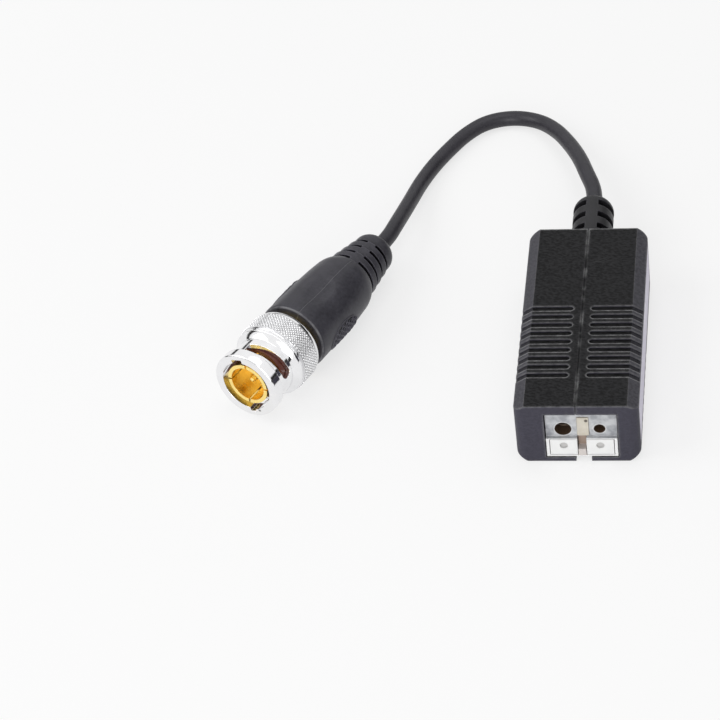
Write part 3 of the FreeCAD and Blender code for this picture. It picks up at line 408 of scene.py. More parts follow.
def terminal_plastic():
    """Grey nylon with painted highlights on its edges, a foot painted paler as painted light,
    rings round the entries, and brown wire passages.
    """
    finish = Finish("terminal_plastic", TERMINAL_GREY, 0.42)
    edge = finish.soft_edges(0.08 * MM)
    cloud = finish.noise(700, detail=4)
    across, along, height = finish.axes(finish.place)
    skin = finish.mixed(finish.between(cloud, 0.36, 0.62), *TERMINAL_SKIN)
    # Painted highlights: the block's edges are painted pale
    skin = finish.mixed(finish.times(edge, 0.6), skin, TERMINAL_EDGE_HIGHLIGHT)
    # Painted light: the foot under the ledge is painted paler, where more light falls on it
    foot = finish.between(height, LEDGE_HEIGHT - 0.05 * MM, LEDGE_HEIGHT + 0.01 * MM, 1.0, 0.0)
    skin = finish.mixed(foot, skin, TERMINAL_FOOT_LIT)
    inside = finish.between(along, ENTRY_FACE + 0.02 * MM, ENTRY_FACE + 0.08 * MM)
    for middle, up, radius in ENTRIES:
        reach = finish.reach(finish.maths("SUBTRACT", across, middle),
                             finish.maths("SUBTRACT", height, up))
        ring = finish.band(reach, radius + RING_START, radius + RING_END, soft=0.05 * MM)
        skin = finish.mixed(finish.times(ring, 0.55), skin, ENTRY_RING)
        passage = finish.between(reach, radius + 0.02 * MM, radius + 0.04 * MM, 1.0, 0.0)
        skin = finish.mixed(finish.times(passage, inside), skin, ENTRY_PASSAGE)
    slot = finish.band(across, *SLOT_SIDES, soft=SLOT_SOFT)
    upper = finish.times(slot, finish.band(height, *SLOT_UPPER, soft=SLOT_SOFT),
                         finish.between(along, *SLOT_DEPTH))
    skin = finish.mixed(upper, skin, SLOT_BROWN)
    lower = finish.times(slot, finish.band(height, *SLOT_LOWER, soft=SLOT_SOFT), 0.6)
    finish.colour(finish.mixed(lower, skin, SLOT_PALE_BROWN))
    finish.bump(cloud, 0.06 * MM, strength=0.4)
    return finish.material


BUTTON_WHITE = (0.80, 0.80, 0.80)
BUTTON_SKIN = ((0.78, 0.78, 0.78), (0.83, 0.83, 0.82))
BUTTON_DIMPLE_SHADE = (0.46, 0.45, 0.44)
BUTTON_STEM_SHADE = (0.12, 0.085, 0.06)
DIMPLE_DEPTH = (-23.55 * MM, -22.9 * MM)
STEM_FRONT = (-22.6 * MM, -22.4 * MM)


def button_plastic():
    """Glossy white nylon, painted greyer in its dimple and dark on the stem in the block, as
    painted shade.
    """
    finish = Finish("button_plastic", BUTTON_WHITE, 0.3)
    finish.soft_edges(0.1 * MM)
    cloud = finish.noise(900)
    along = finish.axes(finish.place)["Y"]
    # Painted shade: greyer in the dimple, and dark on the stem inside the block
    dimple = finish.times(finish.band(along, *DIMPLE_DEPTH, soft=0.15 * MM), 0.8)
    pale = finish.mixed(dimple, finish.mixed(cloud, *BUTTON_SKIN), BUTTON_DIMPLE_SHADE)
    finish.colour(finish.mixed(finish.between(along, *STEM_FRONT), pale, BUTTON_STEM_SHADE))
    finish.bump(cloud, 0.02 * MM, strength=0.3)
    return finish.material


RESIN_CREAM = (0.62, 0.58, 0.50)
RESIN_CLOUDS = ((0.46, 0.41, 0.33), (0.74, 0.70, 0.62))
RESIN_PIP = (0.06, 0.045, 0.035)
PIP_ACROSS, PIP_HEIGHT = 1.6 * MM, 8.8 * MM
PIP_RADIUS = (0.22 * MM, 0.40 * MM)


def divider_resin():
    """Cream, slightly clouded resin with a small dark pip at its upper right."""
    finish = Finish("divider_resin", RESIN_CREAM, 0.3)
    finish.soft_edges(0.12 * MM)
    across, _, height = finish.axes(finish.place)
    resin = finish.mixed(finish.noise(600, detail=4), *RESIN_CLOUDS)
    reach = finish.reach(finish.maths("SUBTRACT", height, PIP_HEIGHT),
                         finish.maths("SUBTRACT", across, PIP_ACROSS))
    pip = finish.between(reach, *PIP_RADIUS, 0.9, 0.0)
    finish.colour(finish.mixed(pip, resin, RESIN_PIP))
    finish.put(finish.shader, Subsurface_Weight=0.15, Subsurface_Radius=(0.001, 0.0008, 0.0005))
    return finish.material


# Painted shade, a painted highlight and a parting line on the plug's sleeve: the slotted relief
# at its tail, the rim beside the nut and the parting line, with the relief's radius at its two
# ends

RELIEF_SLOTS = (34.4 * MM, 43.8 * MM)
SLOT_SHADE = (0.25 * MM, 0.7 * MM)
RELIEF_FRONT = (34.25 * MM, 5.3 * MM)
RELIEF_TAIL = (45.3 * MM, 4.0 * MM)
SLEEVE_RIM = (15.30 * MM, 15.46 * MM)
PARTING_END = (33.6 * MM, 34.0 * MM)
PARTING_HALF_WIDTH = 0.05 * MM

# Painted light and shade: the slots' black is painted shade, the rim's grey and the rubber's edge
# lift are painted highlights
SLOT_SHADE_BLACK = (0.002, 0.002, 0.002)
RIM_HIGHLIGHT = (0.22, 0.22, 0.23)
PARTING_GREY = (0.11, 0.11, 0.12)
RUBBER_EDGE_HIGHLIGHT = 3.5


def sleeve_marks(finish, body, flow):
    """The sleeve's colour with painted shade in the slots, a painted highlight on the rim and a
    thin parting line.
    """
    station, aside, up = finish.plug_axes(SLEEVE_ROLL)
    (front, front_radius), (tail, tail_radius) = RELIEF_FRONT, RELIEF_TAIL
    surface = finish.between(station, front, tail, front_radius, tail_radius)
    under = finish.maths("SUBTRACT", surface, finish.reach(aside, up))
    # Painted shade: the relief's slots are painted black where they lie deep
    slots = finish.times(finish.between(under, *SLOT_SHADE, 0.0, 0.9),
                         finish.band(station, *RELIEF_SLOTS, soft=0.1 * MM))
    body = finish.mixed(slots, body, SLOT_SHADE_BLACK)
    # Painted highlight: a paler band on the sleeve's rim beside the nut
    rim = finish.times(finish.band(station, *SLEEVE_RIM, soft=0.08 * MM),
                       finish.between(flow, 0.40, 0.55, 0.1, 0.6))
    body = finish.mixed(rim, body, RIM_HIGHLIGHT)
    line = finish.between(finish.maths("ABSOLUTE", aside), PARTING_HALF_WIDTH,
                          2 * PARTING_HALF_WIDTH, 1.0, 0.0)
    line = finish.times(line, finish.between(station, *PARTING_END, 1.0, 0.0))
    finish.bump(line, 0.05 * MM, strength=0.8)
    return finish.mixed(finish.times(line, 0.75), body, PARTING_GREY)


def soft_rubber(name, colours, rough, specular=0.3, sleeve=False):
    """Moulded soft plastic with a fine skin, flow marks and painted highlights on its edges; on
    the sleeve also its painted shade, painted highlight and parting line.
    """
    dark, light = colours
    finish = Finish(name, light, rough, specular=specular)
    edge = finish.soft_edges(0.18 * MM)
    flow = finish.noise(240, detail=4, rough=0.6)
    skin = finish.noise(1900, detail=4, rough=0.6)
    fine = finish.noise(4200, detail=2)
    cloudy = finish.between(finish.maths("ADD", flow, skin), 0.7, 1.3)
    body = finish.mixed(cloudy, dark, light)
    # Painted highlights: the edges are painted paler
    paler = tuple(RUBBER_EDGE_HIGHLIGHT * part for part in light)
    body = finish.mixed(finish.times(edge, 0.5), body, paler)
    finish.roughness(finish.between(skin, 0.3, 0.7, rough - 0.06, rough + 0.1))
    finish.bump(fine, 0.015 * MM, strength=0.4)
    finish.bump(flow, 0.10 * MM, strength=0.3)
    finish.colour(sleeve_marks(finish, body, flow) if sleeve else body)
    return finish.material


NICKEL = (0.90, 0.90, 0.91)
NICKEL_PLATE = ((0.80, 0.80, 0.81), (0.91, 0.91, 0.92))
NICKEL_VALLEY_SHADE = (0.62, 0.62, 0.63)
VALLEY_RADIUS = (KNURL_FLOOR - 0.10 * MM, KNURL_FLOOR + 0.02 * MM)


def polished_nickel():
    """Bright nickel plate, a little uneven, with duller valleys between the nut's studs, painted
    darker as painted shade.
    """
    finish = Finish("polished_nickel", NICKEL, 0.10, metallic=1.0)
    finish.soft_edges(0.16 * MM)
    cloud = finish.noise(500)
    station, aside, up = finish.plug_axes()
    # Painted shade: the valleys between the studs are painted darker, and they are also made
    # rougher
    valley = finish.times(finish.band(finish.reach(aside, up), *VALLEY_RADIUS, soft=0.015 * MM),
                          finish.band(station, KNURL_FRONT, KNURL_REAR, soft=0.03 * MM))
    finish.colour(finish.mixed(valley, finish.mixed(cloud, *NICKEL_PLATE), NICKEL_VALLEY_SHADE))
    shine = finish.between(cloud, 0.3, 0.7, 0.06, 0.14)
    finish.roughness(finish.maths("ADD", shine, finish.times(valley, 0.3)))
    finish.bump(cloud, 0.02 * MM, strength=0.08)
    return finish.material


GOLD = (1.0, 0.76, 0.28)
GOLD_CLOUDS = ((1.0, 0.71, 0.19), (1.0, 0.83, 0.36))


def gold_plate():
    """Warm gold plate."""
    finish = Finish("gold_plate", GOLD, 0.22, metallic=1.0)
    finish.soft_edges(0.07 * MM)
    cloud = finish.noise(700)
    finish.colour(finish.mixed(cloud, *GOLD_CLOUDS))
    finish.roughness(finish.between(cloud, 0.3, 0.7, 0.16, 0.30))
    finish.bump(cloud, 0.02 * MM, strength=0.2)
    return finish.material


DIMMER = 0.85


def plain_finish(name, colour, roughness, metallic=0.0):
    """A slightly uneven colour and surface, with the pattern of its unevenness."""
    finish = Finish(name, colour, roughness, metallic=metallic)
    cloud = finish.noise(900)
    finish.colour(finish.mixed(cloud, tuple(DIMMER * part for part in colour), colour))
    finish.bump(cloud, 0.02 * MM, strength=0.3)
    return finish, cloud


def plain_plastic(name, colour, roughness):
    """Moulded plastic with a slightly uneven colour and surface."""
    finish, _ = plain_finish(name, colour, roughness)
    return finish.material


def plain_metal(name, colour, roughness):
    """Sheet or wire metal, a little uneven in its shine too."""
    finish, cloud = plain_finish(name, colour, roughness, metallic=1.0)
    finish.roughness(finish.between(cloud, 0.3, 0.7, roughness - 0.05, roughness + 0.08))
    return finish.material


COPPER = (0.72, 0.33, 0.14)
COPPER_TURNS = ((0.45, 0.17, 0.06), (0.80, 0.40, 0.18))


def wound_wire():
    """Enamelled copper wire, laid in close turns round the ring."""
    finish = Finish("wound_wire", COPPER, 0.3, metallic=0.7)
    wave = finish.add("ShaderNodeTexWave", wave_type="RINGS", rings_direction="Z")
    turns = finish.put(wave, Vector=finish.place, Scale=600.0, Distortion=1.0).outputs["Fac"]
    finish.colour(finish.mixed(turns, *COPPER_TURNS))
    finish.bump(turns, 0.1 * MM, strength=0.6)
    return finish.material


def paint(name, material):
    """Gives a CAD node its finish."""
    mesh = nodes[name].data
    mesh.materials.clear()
    mesh.materials.append(material)


def add_object(name, data):
    """An object that holds a mesh, a curve or a lamp."""
    piece = bpy.data.objects.new(name, data)
    bpy.context.scene.collection.objects.link(piece)
    return piece


def add_mesh(name, build):
    """A mesh object made by a function that fills a bmesh."""
    work = bmesh.new()
    build(work)
    mesh = bpy.data.meshes.new(name)
    work.to_mesh(mesh)
    work.free()
    return add_object(name, mesh)


# Pieces that keep their CAD form, with merged and smoothly shaded faces

SMOOTH_ANGLE = math.radians(32)
ROUND_FACE = 0.13
WELD = 0.002 * MM


def turned_normals(mesh, foot, axis):
    """Gives a turned form the normals of its true round faces, so that no triangles show in it."""
    def outwards(point):
        out = point - foot
        return (out - out.dot(axis) * axis).normalized()

    radial = [outwards(vertex.co) for vertex in mesh.vertices]
    corners = [[] for _ in mesh.vertices]
    for face in mesh.polygons:
        along, away = face.normal.dot(axis), face.normal.dot(outwards(face.center))
        turned = 1 - along ** 2 - away ** 2 < ROUND_FACE ** 2
        reach = math.copysign(math.sqrt(max(0.0, 1 - along ** 2)), away)
        count = len(face.vertices)
        for place, (loop, vertex) in enumerate(zip(face.loop_indices, face.vertices)):
            here = mesh.vertices[vertex].co
            before = mesh.vertices[face.vertices[place - 1]].co - here
            after = mesh.vertices[face.vertices[(place + 1) % count]].co - here
            normal = along * axis + reach * radial[vertex] if turned else face.normal.copy()
            corners[vertex].append((loop, normal, before.angle(after, 0.0)))
    normals = [None] * len(mesh.loops)
    for group in corners:
        for loop, normal, _ in group:
            total = Vector()
            for _, other, weight in group:
                if normal.dot(other) > math.cos(SMOOTH_ANGLE):
                    total += other * weight
            normals[loop] = total.normalized() if total.length > 0 else normal
    mesh.normals_split_custom_set(normals)


def dressed(name, body, material, reshape=None, turned=None):
    """A copy of a CAD node with its triangles joined, smooth apart from its true edges."""
    def build(work):
        work.from_mesh(nodes[name].data)
        bmesh.ops.remove_doubles(work, verts=work.verts, dist=WELD)
        if reshape:
            reshape(work)
        for face in work.faces:
            face.smooth = True
        for edge in work.edges:
            edge.smooth = edge.is_manifold and edge.calc_face_angle(math.pi) < SMOOTH_ANGLE

    piece = add_mesh(f"{name}_finished", build)
    if turned:
        turned_normals(piece.data, *turned)
    piece.data.materials.append(material)
    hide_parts(name)
    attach(piece, body)
    return piece


# Springs, in their CAD form, each with a mesh of its own


def make_springs(material):
    """What gives way: a leaf spring behind each button, a wave washer behind the nut."""
    for side in ("left", "right"):
        leaf = dressed(f"clamp_spring_{side}", "case", material)
        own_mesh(leaf)
    washer = dressed("wave_washer", "case", material)
    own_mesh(washer)


# Studs laid in staggered rows on a drum, for the nut's knurl and the sleeve's grips

class StudTree(NodeTree):
    """Geometry Nodes that wrap rows of four-sided studs round the X axis, within an oval."""

    def __init__(self, name, sizes, material):
        super().__init__(bpy.data.node_groups.new(name, "GeometryNodeTree"))
        self.sizes = sizes
        self.material = material
        sockets = self.tree.interface
        sockets.new_socket("Geometry", in_out="OUTPUT", socket_type="NodeSocketGeometry")
        for key, value in sizes.items():
            kind = "NodeSocketInt" if isinstance(value, int) else "NodeSocketFloat"
            sockets.new_socket(key, in_out="INPUT", socket_type=kind)
        sockets.new_socket("Finish", in_out="INPUT", socket_type="NodeSocketMaterial")
        self.given = self.add("NodeGroupInput").outputs
        self.build()

    def rotation(self, x, z):
        """A rotation from its turns round X and Z."""
        node = self.add("FunctionNodeEulerToRotation")
        return self.put(node, Euler=self.vector(x, 0.0, z)).outputs[0]

    def build(self):
        """Lays out the studs, turns each outwards, and keeps those within the oval."""
        given = self.given
        index = self.add("GeometryNodeInputIndex").outputs[0]
        row = self.maths("FLOOR", self.maths("DIVIDE", index, given["Columns"]))
        column = self.maths("MODULO", index, given["Columns"])
        stagger = self.times(self.maths("MODULO", row, 2.0), 0.5)
        angle = self.times(self.maths("ADD", column, stagger), given["Angle Step"])
        angle = self.maths("ADD", angle, given["First Angle"])
        station = self.maths("ADD", given["First Station"], self.times(row, given["Row Step"]))
        sideways = self.times(self.maths("SINE", angle), given["Drum Radius"], -1.0)
        upwards = self.times(self.maths("COSINE", angle), given["Drum Radius"])
        count = self.times(given["Rows"], given["Columns"])
        line = self.put(self.add("GeometryNodeMeshLine"), Count=count)
        points = self.put(self.add("GeometryNodeSetPosition"), Geometry=line.outputs[0],
                          Position=self.vector(station, sideways, upwards))
        stud = self.put(self.add("GeometryNodeMeshCone"), Vertices=4,
                        Radius_Bottom=given["Stud Radius"], Radius_Top=given["Top Radius"],
                        Depth=given["Stud Height"])
        along = self.maths("SUBTRACT", station, given["Oval Station"])
        around = self.maths("SUBTRACT", angle, given["Oval Angle"])
        share = self.reach(self.maths("DIVIDE", along, given["Oval Length"]),
                           self.maths("DIVIDE", around, given["Oval Turn"]))
        turn = self.put(self.add("FunctionNodeRotateRotation", rotation_space="LOCAL"),
                        Rotation=self.rotation(angle, 0.0),
                        Rotate_By=self.rotation(0.0, given["Twist"]))
        studs = self.put(self.add("GeometryNodeInstanceOnPoints"), Points=points.outputs[0],
                         Instance=stud.outputs["Mesh"], Rotation=turn.outputs[0],
                         Selection=self.maths("LESS_THAN", share, 1.0),
                         Scale=self.vector(given["Stretch"], 1.0, 1.0))
        real = self.put(self.add("GeometryNodeRealizeInstances"), Geometry=studs.outputs[0])
        coated = self.put(self.add("GeometryNodeSetMaterial"), Geometry=real.outputs[0],
                          Material=given["Finish"])
        self.link(coated.outputs[0], self.add("NodeGroupOutput").inputs[0])

    def laid(self, name, place):
        """The studs as a plain mesh object, put in place through its mesh."""
        piece = add_object(name, bpy.data.meshes.new(name))
        modifier = piece.modifiers.new(name, "NODES")
        modifier.node_group = self.tree
        for item in self.tree.interface.items_tree:
            if item.in_out == "INPUT":
                value = self.material if item.name == "Finish" else self.sizes[item.name]
                modifier[item.identifier] = value
        graph = bpy.context.evaluated_depsgraph_get()
        mesh = bpy.data.meshes.new_from_object(piece.evaluated_get(graph))
        piece.modifiers.clear()
        piece.data = mesh
        mesh.transform(place)
        return piece


# The nut's knurl. Its studs have no oval: the one given is larger than the nut

KNURL_TOLERANCE = 0.03 * MM
KNURL_END_TOLERANCE = 0.05 * MM
KNURL_SINK = 0.005 * MM
KNURL_STUD_SHARE = 0.45
KNURL_TOP_SHARE = 0.27
NO_OVAL_LENGTH, NO_OVAL_TURN = 1.0, 100.0


def sink_knurl(work):
    """Lowers the nut's plain band to the floor of its knurl."""
    back = plug_frame(NUT_ROLL)
    into = back.inverted()
    front, rear = KNURL_FRONT - KNURL_END_TOLERANCE, KNURL_REAR + KNURL_END_TOLERANCE
    for vertex in work.verts:
        place = into @ vertex.co
        radius = math.hypot(place.y, place.z)
        if abs(radius - KNURL_TOP) < KNURL_TOLERANCE and front < place.x < rear:
            scale = KNURL_FLOOR / radius
            vertex.co = back @ Vector((place.x, place.y * scale, place.z * scale))


def make_knurl(material):
    """Diamond studs all round the nut's grip."""
    step = 2 * math.pi / KNURL_COLUMNS
    pitch = step * KNURL_FLOOR
    middle = (KNURL_FRONT + KNURL_REAR) / 2
    sizes = {
        "Rows": KNURL_ROWS, "Columns": KNURL_COLUMNS, "Drum Radius": KNURL_FLOOR - KNURL_SINK,
        "First Station": middle - pitch / 2 * (KNURL_ROWS - 1) / 2, "Row Step": pitch / 2,
        "First Angle": 0.0, "Angle Step": step,
        "Stud Radius": pitch * KNURL_STUD_SHARE, "Top Radius": pitch * KNURL_TOP_SHARE,
        "Stud Height": KNURL_TOP - KNURL_FLOOR, "Twist": 0.0, "Stretch": 1.0,
        "Oval Station": middle, "Oval Length": NO_OVAL_LENGTH,
        "Oval Angle": 0.0, "Oval Turn": NO_OVAL_TURN,
    }
    knurl = StudTree("knurl_studs", sizes, material).laid("nut_knurl", plug_frame(NUT_ROLL))
    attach(knurl, "nut")


# The sleeve's oval grips. A profile point is a share of the oval's radius and a height in
# millimetres, and a sleeve point is a station and a radius in millimetres

GRIP_STATION = 22.6 * MM
GRIP_HALF_LENGTH = 4.4 * MM
GRIP_HALF_WIDTH = 2.9 * MM
GRIP_PROFILE = ((0.25, 0.03), (0.5, 0.03), (0.75, 0.03), (0.90, 0.03),
                (0.93, 0.13), (0.97, 0.15), (1.0, 0.10), (1.03, -0.25))
GRIP_FLAT_RINGS = 3
GRIP_DEPTH = 1.0 * MM
GRIP_SPOKES = 64
GRIP_ROWS, GRIP_COLUMNS = 15, 9
GRIP_NET = 1.25 * MM
GRIP_NET_ROUND = 1.10 * MM
GRIP_RIDGE = 0.17 * MM
GRIP_RIDGE_HEIGHT = 0.22 * MM
GRIP_RIDGE_CREST = 0.3
GRIP_RIM_LENGTH, GRIP_RIM_WIDTH = 0.55 * MM, 0.45 * MM
SLEEVE_PROFILE = ((15.8, 6.7), (24.0, 6.6), (29.0, 6.35))


def sleeve_radius(station):
    """The sleeve's radius at a station, in metres."""
    for (start, first), (end, last) in zip(SLEEVE_PROFILE, SLEEVE_PROFILE[1:]):
        if station <= end * MM:
            share = (station / MM - start) / (end - start)
            return (first + share * (last - first)) * MM
    return SLEEVE_PROFILE[-1][1] * MM


def make_grip_pad(name, middle):
    """The oval pad under a grip's ridges, with its raised rim. Its middle is painted dark, as
    painted shade between the ridges.
    """
    def place(reach, turn, height):
        station = GRIP_STATION + GRIP_HALF_LENGTH * reach * math.cos(turn)
        angle = middle + GRIP_HALF_WIDTH * reach * math.sin(turn) / sleeve_radius(station)
        radius = sleeve_radius(station) + height
        return Vector((station, -radius * math.sin(angle), radius * math.cos(angle)))

    def build(work):
        seat = plug_frame(SLEEVE_ROLL)
        turns = [2 * math.pi * spoke / GRIP_SPOKES for spoke in range(GRIP_SPOKES)]
        centre = work.verts.new(seat @ place(0, 0, GRIP_PROFILE[0][1] * MM))
        circles = [[work.verts.new(seat @ place(reach, turn, height * MM)) for turn in turns]
                   for reach, height in GRIP_PROFILE]
        bottom = work.verts.new(seat @ place(0, 0, -GRIP_DEPTH))
        for spoke in range(GRIP_SPOKES):
            after = (spoke + 1) % GRIP_SPOKES
            work.faces.new((centre, circles[0][spoke], circles[0][after]))
            for ring, (inner, outer) in enumerate(zip(circles, circles[1:])):
                wall = work.faces.new((inner[spoke], outer[spoke], outer[after], inner[after]))
                wall.material_index = 0 if ring < GRIP_FLAT_RINGS else 1
            floor = work.faces.new((circles[-1][after], circles[-1][spoke], bottom))
            floor.material_index = 1
        for face in work.faces:
            face.smooth = True
        bmesh.ops.recalc_face_normals(work, faces=work.faces)

    return add_mesh(f"grip_pad_{name}", build)


def make_grip(name, side, material, pit_shade):
    """An oval grip on one side of the sleeve: a rim round a net of ridges, over hollows painted
    dark as painted shade.
    """
    middle = -side * math.pi / 2
    pad = make_grip_pad(name, middle)
    for finish in (pit_shade, material):
        pad.data.materials.append(finish)
    pieces = [pad]
    radius = sleeve_radius(GRIP_STATION)
    step = GRIP_NET_ROUND / radius
    lean = math.atan2(GRIP_NET_ROUND, GRIP_NET)
    sizes = {
        "Rows": GRIP_ROWS, "Columns": GRIP_COLUMNS, "Drum Radius": radius,
        "First Station": GRIP_STATION - GRIP_NET / 2 * (GRIP_ROWS - 1) / 2,
        "Row Step": GRIP_NET / 2,
        "First Angle": middle - step * (GRIP_COLUMNS - 1) / 2, "Angle Step": step,
        "Stud Radius": GRIP_RIDGE, "Top Radius": GRIP_RIDGE * GRIP_RIDGE_CREST,
        "Stud Height": GRIP_RIDGE_HEIGHT,
        "Stretch": math.hypot(GRIP_NET, GRIP_NET_ROUND) / 2 / GRIP_RIDGE,
        "Oval Station": GRIP_STATION, "Oval Length": GRIP_HALF_LENGTH - GRIP_RIM_LENGTH,
        "Oval Angle": middle, "Oval Turn": (GRIP_HALF_WIDTH - GRIP_RIM_WIDTH) / radius,
    }
    for way, twist in (("rising", lean), ("falling", -lean)):
        title = f"grip_ridges_{name}_{way}"
        tree = StudTree(title, {**sizes, "Twist": twist}, material)
        pieces.append(tree.laid(title, plug_frame(SLEEVE_ROLL)))
    for piece in pieces:
        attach(piece, "case")


# Lead, with its route in millimetres

LEAD_DIAMETER = 3.0 * MM
LEAD_ROUTE = [
    (0.0, 38.5, 6.35),
    (0.0, 43.0, 6.35),
    (-2.0, 49.0, 6.1),
    (-3.5, 54.5, 5.3),
    (-6.0, 61.0, 4.1),
    (-9.0, 67.0, 2.9),
    (-12.8, 71.5, 1.9),
    (-18.0, 73.2, 1.55),
    (-23.3, 71.8, 1.55),
    (-27.1, 67.9, 1.55),
    (-30.0, 63.0, 1.55),
    (-32.5, 58.0, 1.6),
    (-34.5, 52.0, 2.0),
    (-35.5, 46.5, 2.9),
    (-36.5, 40.5, 4.1),
    (-37.5, 35.0, 5.2),
]
LEAD_STRAIGHT = 3.5 * MM


def make_lead(material):
    """The round lead on one smooth line from the strain relief to the sleeve's tail."""
    route = [Vector(point) * MM for point in LEAD_ROUTE]
    for spare in (LEAD_STRAIGHT, 0.0):
        route.append(plug_frame() @ Vector((SLEEVE_END + spare, 0, 0)))
    data = bpy.data.curves.new("lead", "CURVE")
    data.dimensions = "3D"
    data.bevel_depth = LEAD_DIAMETER / 2
    data.bevel_resolution = 6
    data.resolution_u = 12
    spline = data.splines.new("NURBS")
    spline.points.add(len(route) - 1)
    for point, place in zip(spline.points, route):
        point.co = (*place, 1)
    spline.order_u = 3
    spline.use_endpoint_u = True
    data.materials.append(material)
    lead = add_object("lead", data)
    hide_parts("cable")
    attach(lead, "case")
    return lead


TABLE_HALF_SIZE = 1.2
TABLE_WHITE = (0.93, 0.93, 0.93)
TABLE_CLOUDS = ((0.92, 0.92, 0.92), (0.94, 0.94, 0.94))
TABLE_GLOW = 0.7


def make_table():
    """The pale table that everything lies on. Seen directly or mirrored, it is nearly white."""
    def build(work):
        bmesh.ops.create_grid(work, x_segments=1, y_segments=1, size=TABLE_HALF_SIZE)

    table = add_mesh("table", build)
    finish = Finish("table_white", TABLE_WHITE, 0.9, specular=0.0)
    finish.colour(finish.mixed(finish.noise(6, detail=2), *TABLE_CLOUDS))
    glow = finish.add("ShaderNodeEmission")
    blend = finish.add("ShaderNodeMixShader")
    finish.fill(blend.inputs[0], finish.times(finish.seen(), TABLE_GLOW))
    finish.link(finish.shader.outputs[0], blend.inputs[1])
    finish.link(glow.outputs[0], blend.inputs[2])
    finish.link(blend.outputs[0], finish.tree.nodes["Material Output"].inputs["Surface"])
    table.data.materials.append(finish.material)


# The surround. Metal sees it by height, with a dark horizon, and with a dark flag on one side.
# Each lamp is a soft box with its name, its place, its size and its power

HORIZON = ((-1.0, 0.95), (0.01, 0.95), (0.035, 0.03), (0.17, 0.03), (0.21, 1.0), (1.0, 1.0))
FLAG_DIRECTION = (0.76, 0.60, 0.25)
FLAG_EDGE = (0.940, 0.952)
FLAG_BRIGHTNESS = 0.03
LIGHT_ON_OBJECT = 0.45
LAMPS = (
    ("front_box", (-0.10, -0.78, 0.22), 0.5, 3.1),
    ("left_box", (-0.65, -0.10, 0.55), 0.5, 2.2),
    ("top_box", (0.10, 0.20, 0.90), 0.6, 1.6),
)


def horizon_colour(work, level):
    """The surround's brightness at each height, from -1 below to 1 above."""
    ramp = work.add("ShaderNodeValToRGB")
    work.link(work.between(level, -1.0, 1.0), ramp.inputs[0])
    stops = ramp.color_ramp.elements
    while len(stops) > 1:
        stops.remove(stops[-1])
    for index, (height, bright) in enumerate(HORIZON):
        stop = stops[0] if index == 0 else stops.new((height + 1) / 2)
        stop.position = (height + 1) / 2
        stop.color = (bright, bright, bright, 1)
    return ramp.outputs["Color"]


def make_surround():
    """A white surround, dimmer where it lights the object and patterned where metal shows it."""
    world = bpy.data.worlds.new("surround")
    bpy.context.scene.world = world
    world.use_nodes = True
    work = NodeTree(world.node_tree)
    direction = work.add("ShaderNodeTexCoord").outputs["Generated"]
    horizon = horizon_colour(work, work.axes(direction)["Z"])
    flag = work.between(work.alike(direction, FLAG_DIRECTION), *FLAG_EDGE, 1.0, FLAG_BRIGHTNESS)
    mirrored = work.mixed(1.0, horizon, flag, blend="MULTIPLY")
    glossy = work.add("ShaderNodeLightPath").outputs["Is Glossy Ray"]
    work.put(work.tree.nodes["Background"], Color=work.mixed(glossy, (1, 1, 1), mirrored),
             Strength=work.between(work.seen(), 0.0, 1.0, LIGHT_ON_OBJECT, 1.0))


def make_lamps():
    """Soft boxes in front, to the left and above, all turned to the object."""
    for name, spot, size, power in LAMPS:
        light = bpy.data.lights.new(name, "AREA")
        light.shape = "SQUARE"
        light.size = size
        light.energy = power
        lamp = add_object(name, light)
        lamp.location = spot
        lamp.rotation_euler = (-Vector(spot)).to_track_quat("-Z", "Y").to_euler()


make_camera()
case = moulded_case()
relief = soft_rubber("relief_rubber", ((0.009, 0.009, 0.010), (0.022, 0.021, 0.025)), 0.42)
sleeve = soft_rubber("sleeve_rubber", ((0.023, 0.022, 0.029), (0.052, 0.050, 0.062)), 0.38,
                     sleeve=True)
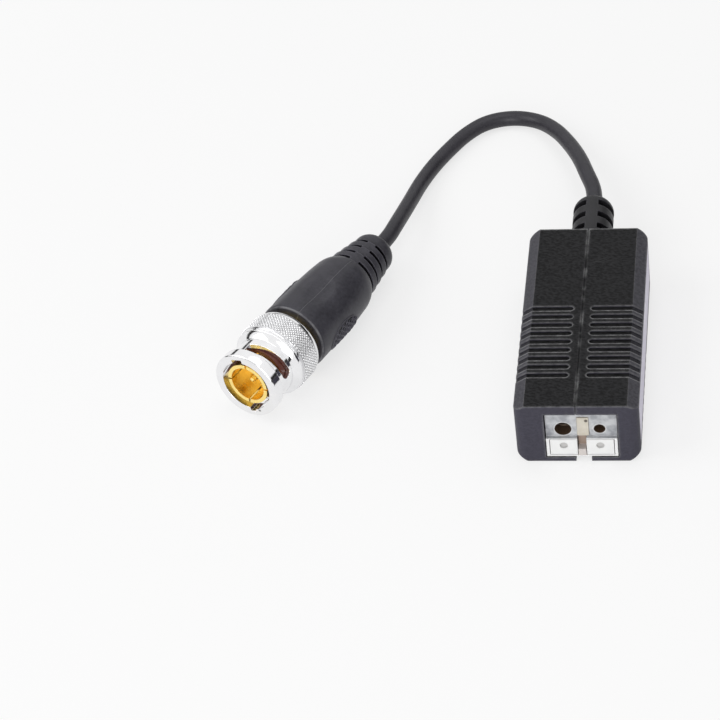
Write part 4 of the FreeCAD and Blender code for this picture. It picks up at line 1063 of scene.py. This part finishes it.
# Painted shade: a darker copy of the sleeve's rubber, for the hollows between the grips' ridges
pit_shade = soft_rubber("grip_pits", ((0.006, 0.006, 0.008), (0.010, 0.010, 0.012)), 0.5)
jacket = soft_rubber("lead_jacket", ((0.015, 0.014, 0.019), (0.032, 0.030, 0.038)), 0.40,
                     specular=0.35)
nickel = polished_nickel()
gold = gold_plate()
steel = plain_metal("spring_steel_strip", (0.46, 0.44, 0.42), 0.3)
tin = plain_metal("tinned_strip", (0.60, 0.56, 0.50), 0.35)
white = button_plastic()
wire = wound_wire()
dielectric = plain_plastic("plug_insulator", (1.0, 0.76, 0.30), 0.35)
silicone = plain_plastic("gasket_silicone", (0.12, 0.02, 0.006), 0.4)

plug_axis = (PLUG_FRONT, PLUG_AXIS)
relief_axis = (Vector((0, 24, 6.35)) * MM, Vector((0, 1, 0)))

dressed("housing_left", "case", case)
dressed("housing_right", "case", case)
dressed("label_plate", "case", label_film())
dressed("cable_grommet", "case", relief, turned=relief_axis)
dressed("terminal_block", "case", terminal_plastic())
dressed("terminal_divider", "case", divider_resin())
dressed("button_left", "left_button", white)
dressed("button_right", "right_button", white)
dressed("plug_overmold", "case", sleeve, turned=plug_axis)
dressed("coupling_nut", "nut", nickel, sink_knurl, plug_axis)
dressed("plug_body", "case", gold, turned=plug_axis)
dressed("body_collar", "case", gold, turned=plug_axis)
dressed("center_pin", "case", gold, turned=plug_axis)
dressed("insulator", "case", dielectric)
dressed("sealing_gasket", "case", silicone)
make_knurl(nickel)
make_grip("near", 1, sleeve, pit_shade)
make_grip("far", -1, sleeve, pit_shade)
make_springs(steel)

paint("circuit_board", plain_plastic("board_laminate", (0.03, 0.16, 0.07), 0.35))
paint("transformer_core", plain_plastic("core_ferrite", (0.03, 0.03, 0.03), 0.7))
paint("primary_winding", wire)
paint("secondary_winding", wire)
paint("filter_capacitor", plain_plastic("capacitor_coat", (0.60, 0.32, 0.10), 0.4))
paint("surge_diodes", plain_plastic("diode_case", (0.02, 0.02, 0.02), 0.5))
paint("contact_left", tin)
paint("contact_right", tin)
paint("thrust_washer", nickel)
paint("crimp_ferrule", nickel)
paint("coax_core", plain_plastic("core_dielectric", (0.80, 0.78, 0.74), 0.5))
paint("signal_lead", plain_plastic("lead_red_coat", (0.45, 0.03, 0.02), 0.4))
paint("shield_lead", plain_plastic("lead_black_coat", (0.02, 0.02, 0.02), 0.5))
lead = make_lead(jacket)
make_table()
make_surround()
make_lamps()

bpy.context.scene.view_settings.view_transform = "Standard"
